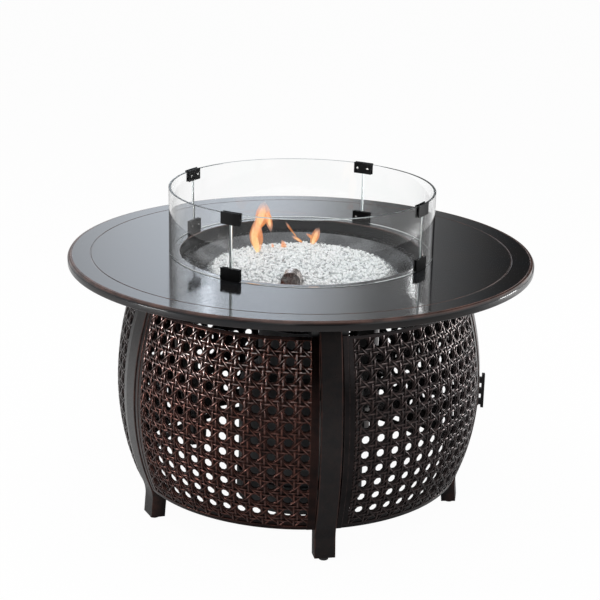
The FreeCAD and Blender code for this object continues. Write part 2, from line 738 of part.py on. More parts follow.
def guard_clip(low):
    """Clip of two curved cheeks with a web between them, which passes through the seam."""
    inner = "guard_radius - glass_sheet"
    angle = "clip_width / guard_radius * 180 / pi"
    outside = arc_plate("guard_radius + clip_gap", "guard_radius + clip_gap + clip_sheet", low,
                        "clip_height", angle)
    inside = arc_plate(f"{inner} - clip_gap - clip_sheet", f"{inner} - clip_gap", low,
                       "clip_height", angle)
    web = box("glass_sheet + 2 * clip_gap + clip_sheet", "clip_web", "clip_height",
              f"{inner} - clip_gap - clip_sheet / 2", "-clip_web / 2", low)
    cheeks = joined([outside, inside, web])
    holes = []
    for side in (-1, 1):
        holes.append(cylinder("clip_screw", "4 * clip_sheet", f"{inner} - clip_gap - 2.5 * clip_sheet",
                              f"{side} * clip_screw_spread", f"{low} + clip_height / 2", "X"))
    return cut(cheeks, holes)


def clip_screw(low, side):
    """Set screw through the inner cheek of a clip."""
    inner = "guard_radius - glass_sheet"
    screw = cylinder("clip_screw", "clip_screw_reach",
                     f"{inner} - clip_gap - clip_screw_reach - clip_screw_gap",
                     f"{side} * clip_screw_spread", f"{low} + clip_height / 2", "X")
    return group([screw])


def hinge_lows():
    """Low heights of the two hinges' door knuckles."""
    return ["low_hinge - knuckle_height / 2", "high_hinge - knuckle_height / 2"]


def make_hinges():
    """Two hinges: fixed knuckles on the post, a knuckle on the door between them, and a pin."""
    side = "-hinge_side"
    step = "(knuckle_height + knuckle_gap)"
    azimuth = 2 * 360.0 / read("post_count")
    post_leaves = []
    door_leaves = []
    pins = []
    for low in hinge_lows():
        knuckles = []
        for place in (f"{low} - {step}", f"{low} + {step}"):
            knuckles.append(cylinder("knuckle_radius", "knuckle_height", "hinge_out", side, place))
            knuckles.append(box("hinge_out - barrel_radius - post_proud + leaf_inset", "leaf_width",
                                "knuckle_height", "barrel_radius + post_proud - leaf_inset", side, place))
        post_leaves.append(hinge_leaf(knuckles, low, "hinge_pin"))
        lug = [cylinder("knuckle_radius", "knuckle_height", "hinge_out", side, low),
               box("hinge_out - barrel_radius + door_leaf_inset", "door_leaf_reach", "knuckle_height",
                   "barrel_radius - door_leaf_inset", f"{side} - door_leaf_reach", low)]
        door_leaves.append(hinge_leaf(lug, low, "hinge_pin + hinge_clearance"))
        pins.append(cylinder("hinge_pin", f"3 * {step}", "hinge_out", side, f"{low} - {step}"))
    post_trim = DOC.addObject("Part::Feature", "PostSide")
    post_trim.Shape = post_prism(0.0, read("post_depth"), read("post_width"))
    panel_trim = DOC.addObject("Part::Feature", "PanelSide")
    panel_trim.Shape = barrel_drum()
    leaves = cut(group(post_leaves), [post_trim])
    leaves.Placement = turned(azimuth)
    keep(leaves, "post_hinge_leaves")
    leaves = cut(group(door_leaves), [panel_trim])
    leaves.Placement = turned(azimuth)
    keep(leaves, "door_hinge_leaves")
    pin_set = group(pins)
    pin_set.Placement = turned(azimuth)
    keep(pin_set, "hinge_pins")


def hinge_leaf(pieces, low, bore):
    """Knuckles and plates of one side of a hinge, bored for the pin."""
    hole = cylinder(bore, "6 * knuckle_height", "hinge_out", "-hinge_side", f"{low} - 3 * knuckle_height")
    return cut(joined(pieces), [hole])


def barrel_drum():
    """Whole barrel as one turned solid, for trimming what stands on a panel."""
    middle = read("barrel_middle")
    widest = read("barrel_radius")
    upper = read("upper_arc")
    lower = read("lower_arc")
    high = math.asin((read("panel_top") - middle) / upper)
    deep = math.asin((read("panel_bottom") - middle) / lower)
    top_point = FreeCAD.Vector(barrel(read("panel_top")), 0, read("panel_top"))
    low_point = FreeCAD.Vector(barrel(read("panel_bottom")), 0, read("panel_bottom"))
    edges = [
        side_arc((widest - upper, middle), upper, high, 0.0),
        side_arc((widest - lower, middle), lower, 0.0, deep),
        Part.LineSegment(low_point, FreeCAD.Vector(0, 0, low_point.z)).toShape(),
        Part.LineSegment(FreeCAD.Vector(0, 0, low_point.z), FreeCAD.Vector(0, 0, top_point.z)).toShape(),
        Part.LineSegment(FreeCAD.Vector(0, 0, top_point.z), top_point).toShape(),
    ]
    face = Part.Face(Part.Wire(Part.__sortEdges__(edges)))
    return face.revolve(FreeCAD.Vector(), FreeCAD.Vector(0, 0, 1), 360)


def make_door_fittings():
    """Door handle on its plate with screws, and the magnet catch on the post beside it."""
    trim = barrel_drum()
    azimuth = read("handle_azimuth")
    high = read("handle_plate_high")
    low = read("handle_plate_low")
    width = read("handle_plate_width")
    face = read("barrel_radius") + read("handle_plate_sheet")
    deep = read("handle_plate_block")
    block = Part.makeBox(deep, width, high - low, FreeCAD.Vector(face - deep, -width / 2, low))
    handle_plate = DOC.addObject("Part::Feature", "HandlePlate")
    handle_plate.Shape = block.cut(trim)
    handle_plate.Placement = turned(azimuth)
    keep(handle_plate, "handle_plate")
    face_at = "barrel_radius + handle_plate_sheet"
    bar = box("handle_bar_depth", "handle_bar_width", "handle_high - handle_low",
              "barrel_radius + handle_stand - handle_bar_depth", "-handle_bar_width / 2", "handle_low")
    feet = [bar]
    rise = "(handle_plate_high - handle_plate_low)"
    for place in ("handle_plate_low + handle_foot_inset",
                  f"handle_plate_low + {rise} / 2 - handle_foot / 2",
                  "handle_plate_high - handle_foot - handle_foot_inset"):
        feet.append(box("handle_stand - handle_plate_sheet", "handle_bar_width", "handle_foot",
                        face_at, "-handle_bar_width / 2", place))
    handle = joined(feet)
    handle.Placement = turned(azimuth)
    keep(handle, "door_handle")
    make_catch()


def make_catch():
    """Magnet block on the side of the post by the handle, and its strike plate on the door."""
    azimuth = 360.0 / read("post_count")
    magnet = box("magnet_depth", "magnet_width", "magnet_height", "magnet_face - magnet_depth",
                 "post_width / 2", "barrel_middle - magnet_height / 2")
    catch = group([magnet])
    catch.Placement = turned(azimuth)
    keep(catch, "door_magnet")
    low = read("barrel_middle") - read("magnet_height") / 2
    corner = FreeCAD.Vector(read("magnet_face") + read("strike_gap"),
                            read("post_width") / 2 + read("strike_side"), low)
    strike = Part.makeBox(read("strike_depth"), read("strike_width"), read("magnet_height"), corner)
    strike.Placement = turned(azimuth)
    inside = Part.makeCylinder(inner_flat_radius(), 2 * low, FreeCAD.Vector())
    node = DOC.addObject("Part::Feature", "Strike")
    node.Shape = strike.common(inside)
    keep(node, "door_strike")


def inner_flat_radius():
    """Largest cylinder that fits inside the door's facets beside the catch."""
    low = read("barrel_middle") - read("magnet_height") / 2
    return barrel_inner(low)[0] * math.cos(math.radians(read("weave_pitch") / 2))


def tank_place():
    """Placement of the gas tank, with its outlet along local +X."""
    return turned(read("tank_azimuth"), x=read("tank_offset"))


def make_tank_seat():
    """Tray on the floor round the tank's foot: a flat ring with an upright wall."""
    plate = ring("foot_ring_radius + seat_gap", "seat_radius", "0", "seat_sheet")
    wall = ring("seat_radius - seat_wall", "seat_radius", "0", "seat_depth")
    seat = joined([plate, wall])
    seat.Placement = tank_place()
    keep(seat, "tank_seat")


def make_tank():
    """Gas tank: a dished shell, a foot ring, a collar open at the outlet, and its valve."""
    outer = tank_shell(0.0)
    shell = DOC.addObject("Part::Feature", "Tank")
    shell.Shape = outer.cut(tank_shell(read("tank_wall")))
    shell.Placement = tank_place()
    keep(shell, "tank_shell")
    foot = Part.makeCylinder(read("foot_ring_radius"), read("foot_ring_depth"))
    foot = foot.cut(Part.makeCylinder(read("foot_ring_radius") - read("foot_ring_wall"),
                                      read("foot_ring_depth")))
    ring_node = DOC.addObject("Part::Feature", "FootRing")
    ring_node.Shape = foot.cut(outer)
    ring_node.Placement = tank_place()
    keep(ring_node, "tank_foot_ring")
    top = read("collar_top")
    span = 360.0 - read("collar_open")
    band = Part.makeCylinder(read("collar_radius"), top, FreeCAD.Vector(), FreeCAD.Vector(0, 0, 1), span)
    band = band.cut(Part.makeCylinder(read("collar_radius") - read("collar_sheet"), top))
    band.rotate(FreeCAD.Vector(), FreeCAD.Vector(0, 0, 1), read("collar_open") / 2)
    wide = read("wide")
    above = Part.makeBox(wide, wide, top, FreeCAD.Vector(-wide / 2, -wide / 2, read("collar_bottom")))
    collar = DOC.addObject("Part::Feature", "Collar")
    collar.Shape = band.common(above).cut(outer)
    collar.Placement = tank_place()
    keep(collar, "tank_collar")
    make_tank_valve(outer)


def tank_shell(inset):
    """Tank body between two shallow dished ends, moved inward by an inset."""
    radius = read("tank_radius") - inset
    dish = read("tank_dish") - inset
    low = read("tank_low") + read("tank_dish")
    high = low + read("tank_straight")
    drum = Part.makeCylinder(radius, high - low, FreeCAD.Vector(0, 0, low))
    flatten = FreeCAD.Matrix()
    flatten.scale(1.0, 1.0, dish / radius)
    shape = drum
    for level in (low, high):
        dome = Part.makeSphere(radius).transformGeometry(flatten)
        dome.translate(FreeCAD.Vector(0, 0, level))
        shape = shape.fuse(dome)
    return shape.removeSplitter()


def make_tank_valve(shell):
    """Brass valve with a side outlet, its hand wheel, and the regulator on the outlet."""
    low = read("tank_low") + 2 * read("tank_dish") + read("tank_straight") - read("valve_sink")
    level = read("outlet_height")
    outward = FreeCAD.Vector(1, 0, 0)
    neck = Part.makeCylinder(read("valve_radius"), read("valve_top") - low, FreeCAD.Vector(0, 0, low))
    outlet = Part.makeCylinder(read("outlet_radius"), read("outlet_reach"),
                               FreeCAD.Vector(0, 0, level), outward)
    deep = read("wheel_stem_room")
    stem_room = Part.makeCylinder(read("wheel_stem") + read("stem_clearance"), deep,
                                  FreeCAD.Vector(0, 0, read("valve_top") - deep))
    valve = DOC.addObject("Part::Feature", "TankValve")
    valve.Shape = neck.fuse(outlet).cut(shell).cut(stem_room).removeSplitter()
    valve.Placement = tank_place()
    keep(valve, "tank_valve")
    make_handwheel()
    start = read("outlet_reach")
    nut = Part.makeCylinder(read("nut_radius"), read("nut_length"),
                            FreeCAD.Vector(start, 0, level), outward)
    nut_node = DOC.addObject("Part::Feature", "Nut")
    nut_node.Shape = nut
    nut_node.Placement = tank_place()
    keep(nut_node, "coupling_nut")
    start += read("nut_length")
    drum = Part.makeCylinder(read("regulator_radius"), read("regulator_length"),
                             FreeCAD.Vector(start, 0, level), outward)
    start += read("regulator_length")
    barb = Part.makeCylinder(read("barb_radius"), read("barb_length"),
                             FreeCAD.Vector(start, 0, level), outward)
    regulator = DOC.addObject("Part::Feature", "Regulator")
    regulator.Shape = drum.fuse(barb)
    regulator.Placement = tank_place()
    keep(regulator, "regulator")


def make_handwheel():
    """Scalloped hand wheel on a stem that turns in the valve."""
    low = read("wheel_bottom")
    radius = read("wheel_radius")
    wheel = Part.makeCylinder(radius, read("wheel_sheet"), FreeCAD.Vector(0, 0, low))
    count = int(read("wheel_scallops"))
    reach = radius + read("scallop_out")
    for index in range(count):
        turn = 2 * math.pi * index / count
        middle = FreeCAD.Vector(reach * math.cos(turn), reach * math.sin(turn), low)
        wheel = wheel.cut(Part.makeCylinder(read("scallop_radius"), read("wheel_sheet"), middle))
    base = read("valve_top") - read("wheel_stem_depth")
    stem = Part.makeCylinder(read("wheel_stem"), low - base, FreeCAD.Vector(0, 0, base))
    node = DOC.addObject("Part::Feature", "HandWheel")
    node.Shape = wheel.fuse(stem).removeSplitter()
    node.Placement = tank_place()
    keep(node, "tank_handwheel")


def make_controls():
    """Control plate hung from the ring behind the door, with valve, knob, igniter and pipe."""
    face = "control_face"
    sheet = "control_sheet"
    under = "ring_top - ring_sheet"
    body = new_body("ControlPlate")
    extrude(body, [
        (f"{face} - {sheet}", "control_low"), (face, "control_low"),
        (face, f"{under} - {sheet}"), (f"{face} + control_flange", f"{under} - {sheet}"),
        (f"{face} + control_flange", under), (f"{face} - {sheet}", under),
    ], "control_width")
    stem_hole = cylinder("stem_hole", "4 * control_sheet", f"{face} - 2 * {sheet}",
                         "-knob_offset", "knob_height", "X")
    button_hole = cylinder("button_radius + button_clearance", "4 * control_sheet",
                           f"{face} - 2 * {sheet}", "knob_offset", "knob_height", "X")
    plate_cut = cut(body, [stem_hole, button_hole])
    plate_cut.Placement = turned(read("control_azimuth"))
    keep(plate_cut, "control_plate")
    back = f"{face} - {sheet}"
    block = box("gas_valve_depth", "gas_valve_width", "gas_valve_height",
                f"{back} - gas_valve_depth", "-knob_offset - gas_valve_width / 2",
                "knob_height - gas_valve_height / 2")
    port = cylinder("inlet_port_radius", "inlet_port_length", f"{back} - gas_valve_depth / 2",
                    "-knob_offset", "knob_height - gas_valve_height / 2 - inlet_port_length")
    bore = cylinder("stem_radius + stem_clearance", "stem_length", f"{back} - stem_length",
                    "-knob_offset", "knob_height", "X")
    valve = cut(joined([block, port]), [bore])
    valve.Placement = turned(read("control_azimuth"))
    keep(valve, "gas_valve")
    grip = cylinder("knob_radius", "knob_length", f"{face} + knob_gap", "-knob_offset",
                    "knob_height", "X")
    pointer = box("pointer_depth", "pointer_width", "knob_radius - 2 * pointer_inset",
                  f"{face} + knob_gap + knob_length", "-knob_offset - pointer_width / 2",
                  "knob_height + pointer_inset")
    stem = cylinder("stem_radius", "stem_length - stem_end_gap + control_sheet + knob_gap",
                    f"{back} - stem_length + stem_end_gap", "-knob_offset", "knob_height", "X")
    knob = joined([grip, pointer, stem])
    knob.Placement = turned(read("control_azimuth"))
    keep(knob, "control_knob")
    make_igniter(face, back)
    start = "inlet_radius - inlet_overlap"
    pipe = cylinder("feed_radius", f"{back} - gas_valve_depth - ({start})", start, "-knob_offset",
                    "feed_height", "X")
    keep(feed_pipe(pipe), "feed_pipe")


def make_igniter(face, back):
    """Spark igniter behind the plate, with a push button that slides in it."""
    case = cylinder("igniter_radius", "igniter_length", f"{back} - igniter_length", "knob_offset",
                    "knob_height", "X")
    room = cylinder("button_radius + button_clearance", "button_travel + button_room",
                    f"{back} - button_travel - button_room", "knob_offset", "knob_height", "X")
    holder = cut(case, [room])
    holder.Placement = turned(read("control_azimuth"))
    keep(holder, "spark_igniter")
    button = cylinder("button_radius", "button_stand + control_sheet + button_stem",
                      f"{back} - button_stem", "knob_offset", "knob_height", "X")
    press = group([button])
    press.Placement = turned(read("control_azimuth"))
    keep(press, "igniter_button")


def feed_pipe(pipe):
    """Rigid pipe from the gas valve to the burner inlet, drawn on the plate's own axes."""
    run = group([pipe])
    run.Placement = turned(read("control_azimuth"))
    return run


def rounded_path(points):
    """Wire of straight runs joined by tangent arcs, and the radius of each arc."""
    corners = [FreeCAD.Vector(*point) for point in points]
    edges = []
    radii = []
    start = corners[0]
    for before, here, after in zip(corners, corners[1:], corners[2:]):
        incoming = here - before
        outgoing = after - here
        half_turn = incoming.getAngle(outgoing) / 2
        trim = 0.45 * min(incoming.Length, outgoing.Length)
        radius = trim / math.tan(half_turn)
        first = here - incoming.normalize() * trim
        last = here + outgoing.normalize() * trim
        toward = (outgoing - incoming).normalize()
        bulge = here + toward * (radius / math.cos(half_turn) - radius)
        edges.append(Part.LineSegment(start, first).toShape())
        edges.append(Part.Arc(first, bulge, last).toShape())
        radii.append(radius)
        start = last
    edges.append(Part.LineSegment(start, corners[-1]).toShape())
    return Part.Wire(edges), radii


def make_hose():
    """Gas hose from the regulator's barb to the port under the gas valve."""
    exit_reach = read("outlet_reach") + read("nut_length") + read("regulator_length") + read("barb_length")
    tank = tank_place()
    control = turned(read("control_azimuth"))
    start = tank.multVec(FreeCAD.Vector(exit_reach, 0, read("outlet_height")))
    lead = tank.multVec(FreeCAD.Vector(exit_reach + read("hose_lead"), 0, read("outlet_height")))
    port_out = read("control_face") - read("control_sheet") - read("gas_valve_depth") / 2
    port_low = read("knob_height") - read("gas_valve_height") / 2 - read("inlet_port_length")
    end = control.multVec(FreeCAD.Vector(port_out, -read("knob_offset"), port_low))
    approach = FreeCAD.Vector(end.x, end.y, end.z - read("hose_rise"))
    route = [tuple(start), tuple(lead), (268, -96, 345), (306, -50, 306), (322, 14, 315),
             (322, 52, 364), tuple(approach), tuple(end)]
    path, radii = rounded_path(route)
    circle = Part.Wire(Part.makeCircle(read("hose_radius"), start, lead - start))
    tube = path.makePipeShell([circle], True, False)
    share = tube.Volume / (math.pi * read("hose_radius") ** 2 * path.Length)
    print("hose length", round(path.Length, 1), "volume share", round(share, 4),
          "radii", [round(radius) for radius in radii])
    hose = DOC.addObject("Part::Feature", "Hose")
    hose.Shape = tube
    keep(hose, "gas_hose")


def check_and_write():
    """Stops on a failed object, then writes each sub-part to its own file."""
    for item in DOC.Objects:
        if {"Invalid", "Error"} & set(item.State):
            raise RuntimeError(f"{item.Name} {item.Label} failed: {item.State}")
    os.makedirs("parts", exist_ok=True)
    for name, inner_name in NAMES:
        shape = DOC.getObject(inner_name).Shape
        if shape.isNull() or not shape.isValid() or not shape.Solids:
            raise RuntimeError(f"{name} has no valid solid")
        shape.exportStep(f"parts/{name}.step")
        print(name, len(shape.Solids), round(shape.Volume / 1000.0, 1), "cm3")


DOC = FreeCAD.newDocument("fire_pit_table")
make_sheet(DOC)
make_tabletop()
make_top_ring()
make_bolts()
make_posts()
make_glides()
make_hoop()
make_panels()
make_brackets()
make_pan()
make_burner()
make_bead_bed()
make_pilot()
make_guard()
make_hinges()
make_door_fittings()
make_tank_seat()
make_tank()
make_controls()
make_hose()
DOC.recompute()
check_and_write()
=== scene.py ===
"""Looks of a round gas fire pit table with a glass wind guard and cast cane-pattern panels.

Metres, +Z up, the front post at -Y. An azimuth is counted in degrees from -Y towards +X.
"""

import json
import logging
import math
from dataclasses import dataclass, field
from enum import Enum
from typing import Callable, Iterable, Sequence

import bmesh
import bpy
import numpy as np
from mathutils import Matrix, Vector

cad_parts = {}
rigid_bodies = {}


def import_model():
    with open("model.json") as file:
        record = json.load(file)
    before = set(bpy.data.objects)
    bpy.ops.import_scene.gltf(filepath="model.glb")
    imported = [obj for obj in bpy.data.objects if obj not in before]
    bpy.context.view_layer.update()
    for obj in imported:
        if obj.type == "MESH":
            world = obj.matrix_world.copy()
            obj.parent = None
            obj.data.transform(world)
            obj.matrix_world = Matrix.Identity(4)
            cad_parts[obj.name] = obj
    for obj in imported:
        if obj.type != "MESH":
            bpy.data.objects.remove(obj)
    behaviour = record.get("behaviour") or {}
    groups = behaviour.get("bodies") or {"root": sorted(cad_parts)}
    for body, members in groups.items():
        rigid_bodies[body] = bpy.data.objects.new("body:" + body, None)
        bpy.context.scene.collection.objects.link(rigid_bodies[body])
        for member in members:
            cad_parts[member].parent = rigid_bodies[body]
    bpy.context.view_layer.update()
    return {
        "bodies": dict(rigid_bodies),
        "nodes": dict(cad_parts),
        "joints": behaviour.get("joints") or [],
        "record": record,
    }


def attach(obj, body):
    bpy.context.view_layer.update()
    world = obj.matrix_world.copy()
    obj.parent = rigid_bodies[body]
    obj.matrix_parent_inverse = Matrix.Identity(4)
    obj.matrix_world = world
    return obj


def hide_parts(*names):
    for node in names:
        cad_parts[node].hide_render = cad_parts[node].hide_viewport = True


LOG = logging.getLogger("fire_pit_table")
MM = 0.001
Colour = tuple[float, float, float]
Span = tuple[float, float]

# Middle and wider part of a noise's values, which most of a surface falls in
NOISE_MIDDLE = (0.35, 0.65)
NOISE_WIDE = (0.3, 0.7)


# Shader building


class NodeTree:
    """A node tree with short calls for adding and linking nodes."""

    def __init__(self, tree: bpy.types.NodeTree) -> None:
        """Keep the tree.

        Args:
            tree: The tree to build in.
        """
        self.tree = tree

    def add(self, kind: str, inputs: dict | None = None, **settings: object) -> bpy.types.Node:
        """Add a node.

        Args:
            kind: Node type without its "ShaderNode" start.
            inputs: Socket name or number to a value or to an output that feeds it.
            settings: Properties of the node itself.

        Returns:
            The new node.
        """
        node = self.tree.nodes.new(kind if kind.startswith("Node") else "ShaderNode" + kind)
        for name, value in settings.items():
            setattr(node, name, value)
        for name, value in (inputs or {}).items():
            self.feed(node.inputs[name], value)
        return node

    def feed(self, socket: bpy.types.NodeSocket, value: object) -> None:
        """Link an output to a socket, or set the socket's own value.

        Args:
            socket: The input.
            value: An output socket, a number, or a colour of three parts.
        """
        if isinstance(value, bpy.types.NodeSocket):
            self.tree.links.new(value, socket)
        elif isinstance(value, tuple) and socket.type == "RGBA" and len(value) == 3:
            socket.default_value = (*value, 1.0)
        else:
            socket.default_value = value

    def math(self, operation: str, *values: object, clamp: bool = False) -> bpy.types.NodeSocket:
        """Add a Math node.

        Args:
            operation: Name of the operation.
            values: Numbers or outputs for its inputs.
            clamp: Whether the result is held between 0 and 1.

        Returns:
            The result's output.
        """
        node = self.add("Math", dict(enumerate(values)), operation=operation, use_clamp=clamp)
        return node.outputs[0]

    def span(self, value: object, low: float, high: float, to_low: float = 0.0,
             to_high: float = 1.0, smooth: bool = True) -> bpy.types.NodeSocket:
        """Map a value from one span to another, held at both ends.

        Args:
            value: Output to map.
            low: Start of the span that is read.
            high: End of the span that is read.
            to_low: Result at the start.
            to_high: Result at the end.
            smooth: Whether the ends are eased.

        Returns:
            The mapped value's output.
        """
        kind = "SMOOTHSTEP" if smooth else "LINEAR"
        node = self.add("MapRange", {0: value, 1: low, 2: high, 3: to_low, 4: to_high},
                        interpolation_type=kind)
        return node.outputs[0]

    def blend(self, share: object, first: object, second: object) -> bpy.types.NodeSocket:
        """Mix two colours.

        Args:
            share: Share of the second colour.
            first: Colour or output at 0.
            second: Colour or output at 1.

        Returns:
            The mixed colour's output.
        """
        node = self.add("Mix", data_type="RGBA")
        for place, value in ((0, share), (6, first), (7, second)):
            self.feed(node.inputs[place], value)
        return node.outputs[2]

    def group(self, effect: bpy.types.NodeTree, **inputs: object) -> bpy.types.Node:
        """Place an effect group.

        Args:
            effect: The group's tree.
            inputs: Values or outputs by input name, with spaces written as underscores.

        Returns:
            The group node.
        """
        node = self.add("Group")
        node.node_tree = effect
        for name, value in inputs.items():
            self.feed(node.inputs[name.replace("_", " ")], value)
        return node


class Effects:
    """Node groups that several finishes share, each built once."""

    def __init__(self) -> None:
        """Start with no group built."""
        self.built: dict[str, bpy.types.NodeTree] = {}

    def start(self, name: str, inputs: dict[str, float], outputs: dict[str, str]
              ) -> tuple[NodeTree, bpy.types.Node, bpy.types.Node]:
        """Make an empty group with its sockets.

        Args:
            name: Name of the group.
            inputs: Input names with their default numbers.
            outputs: Output names with their socket types.

        Returns:
            The node tree helper, the group's input node and its output node.
        """
        tree = bpy.data.node_groups.new(name, "ShaderNodeTree")
        for label, default in inputs.items():
            socket = tree.interface.new_socket(label, in_out="INPUT", socket_type="NodeSocketFloat")
            socket.default_value = default
        for label, kind in outputs.items():
            tree.interface.new_socket(label, in_out="OUTPUT", socket_type="NodeSocket" + kind)
        kit = NodeTree(tree)
        self.built[name] = tree
        return kit, kit.add("NodeGroupInput"), kit.add("NodeGroupOutput")

    def get(self, name: str, make: Callable[[], None]) -> bpy.types.NodeTree:
        """Return a group, building it first if it is new.

        Args:
            name: Name of the group.
            make: What builds it.

        Returns:
            The group's tree.
        """
        if name not in self.built:
            make()
        return self.built[name]

    def grain(self) -> bpy.types.NodeTree:
        """Make broad and fine noise of the object's own space.

        Returns:
            The group, with the outputs Broad and Fine.
        """

        def make() -> None:
            """Build the group."""
            kit, entry, out = self.start("grain", {"Scale": 20.0, "Stretch": 1.0},
                                         {"Broad": "Float", "Fine": "Float"})
            place = kit.add("TexCoord").outputs["Object"]
            axes = kit.add("CombineXYZ", {0: 1.0, 1: 1.0, 2: entry.outputs["Stretch"]})
            spot = kit.add("VectorMath", {0: place, 1: axes.outputs[0]}, operation="MULTIPLY")
            broad = kit.add("TexNoise", {"Vector": spot.outputs[0], "Detail": 3.0,
                                         "Scale": entry.outputs["Scale"]})
            tight = kit.math("MULTIPLY", entry.outputs["Scale"], 9.0)
            fine = kit.add("TexNoise", {"Vector": spot.outputs[0], "Detail": 4.0, "Scale": tight,
                                        "Roughness": 0.6})
            kit.feed(out.inputs["Broad"], broad.outputs[0])
            kit.feed(out.inputs["Fine"], fine.outputs[0])

        return self.get("grain", make)

    def rub(self) -> bpy.types.NodeTree:
        """Find where paint is rubbed through, from a surface's wear value.

        Returns:
            The group, with the output Mask.
        """

        def make() -> None:
            """Build the group."""
            kit, entry, out = self.start("rubbed_through", {"Wear": 0.0, "Amount": 1.0,
                                                            "Scale": 60.0}, {"Mask": "Float"})
            noise = kit.group(self.grain(), Scale=entry.outputs["Scale"])
            patch = kit.span(noise.outputs["Broad"], 0.36, 0.66, 0.45, 1.25)
            speck = kit.span(noise.outputs["Fine"], *NOISE_WIDE, 0.75, 1.15)
            share = kit.math("MULTIPLY", kit.math("MULTIPLY", entry.outputs["Wear"], patch), speck)
            mask = kit.math("MULTIPLY", share, entry.outputs["Amount"], clamp=True)
            kit.feed(out.inputs["Mask"], mask)

        return self.get("rubbed_through", make)

    def edges(self) -> bpy.types.NodeTree:
        """Find sharp edges, softened over a short way.

        Returns:
            The group, with the output Mask.
        """

        def make() -> None:
            """Build the group."""
            kit, entry, out = self.start("edge_wear", {"Reach": 0.001, "Amount": 1.0},
                                         {"Mask": "Float"})
            round_normal = kit.add("Bevel", {"Radius": entry.outputs["Reach"]}, samples=4)
            plain = kit.add("NewGeometry").outputs["Normal"]
            facing = kit.add("VectorMath", {0: round_normal.outputs[0], 1: plain},
                             operation="DOT_PRODUCT")
            edge = kit.span(facing.outputs["Value"], 0.995, 0.9)
            noise = kit.group(self.grain(), Scale=70.0)
            broken = kit.span(noise.outputs["Broad"], 0.35, 0.6, 0.35, 1.0)
            mask = kit.math("MULTIPLY", edge, broken)
            mask = kit.math("MULTIPLY", mask, entry.outputs["Amount"], clamp=True)
            kit.feed(out.inputs["Mask"], mask)

        return self.get("edge_wear", make)

    def dust(self) -> bpy.types.NodeTree:
        """Lay a thin film on faces that look up.

        Returns:
            The group, with the output Mask.
        """

        def make() -> None:
            """Build the group."""
            kit, entry, out = self.start("dust_film", {"Amount": 0.2}, {"Mask": "Float"})
            normal = kit.add("NewGeometry").outputs["Normal"]
            up = kit.add("SeparateXYZ", {0: normal}).outputs["Z"]
            noise = kit.group(self.grain(), Scale=14.0)
            facing_up = kit.span(up, 0.2, 0.95)
            cover = kit.math("MULTIPLY", facing_up, kit.span(noise.outputs["Broad"], 0.4, 0.7))
            kit.feed(out.inputs["Mask"], kit.math("MULTIPLY", cover, entry.outputs["Amount"]))

        return self.get("dust_film", make)


class Finish:
    """A finish that can build its material once and hand it out."""

    name: str
    slot: str

    def material(self, effects: Effects) -> bpy.types.Material:
        """Return the finish's material, building it at the first call.

        Args:
            effects: The shared effect groups.

        Returns:
            The material.
        """
        found = bpy.data.materials.get(self.name)
        if found:
            return found
        made = bpy.data.materials.new(self.name)
        made.use_nodes = True
        made.node_tree.nodes.clear()
        kit = NodeTree(made.node_tree)
        shader = kit.add("BsdfPrincipled")
        output = kit.add("OutputMaterial")
        kit.feed(output.inputs["Surface"], shader.outputs[0])
        self.paint(kit, shader, effects)
        return made

    def paint(self, kit: NodeTree, shader: bpy.types.Node, effects: Effects) -> None:
        """Set up the shader; each finish has its own way.

        Args:
            kit: The material's node tree.
            shader: Its Principled shader.
            effects: The shared effect groups.
        """
        raise NotImplementedError


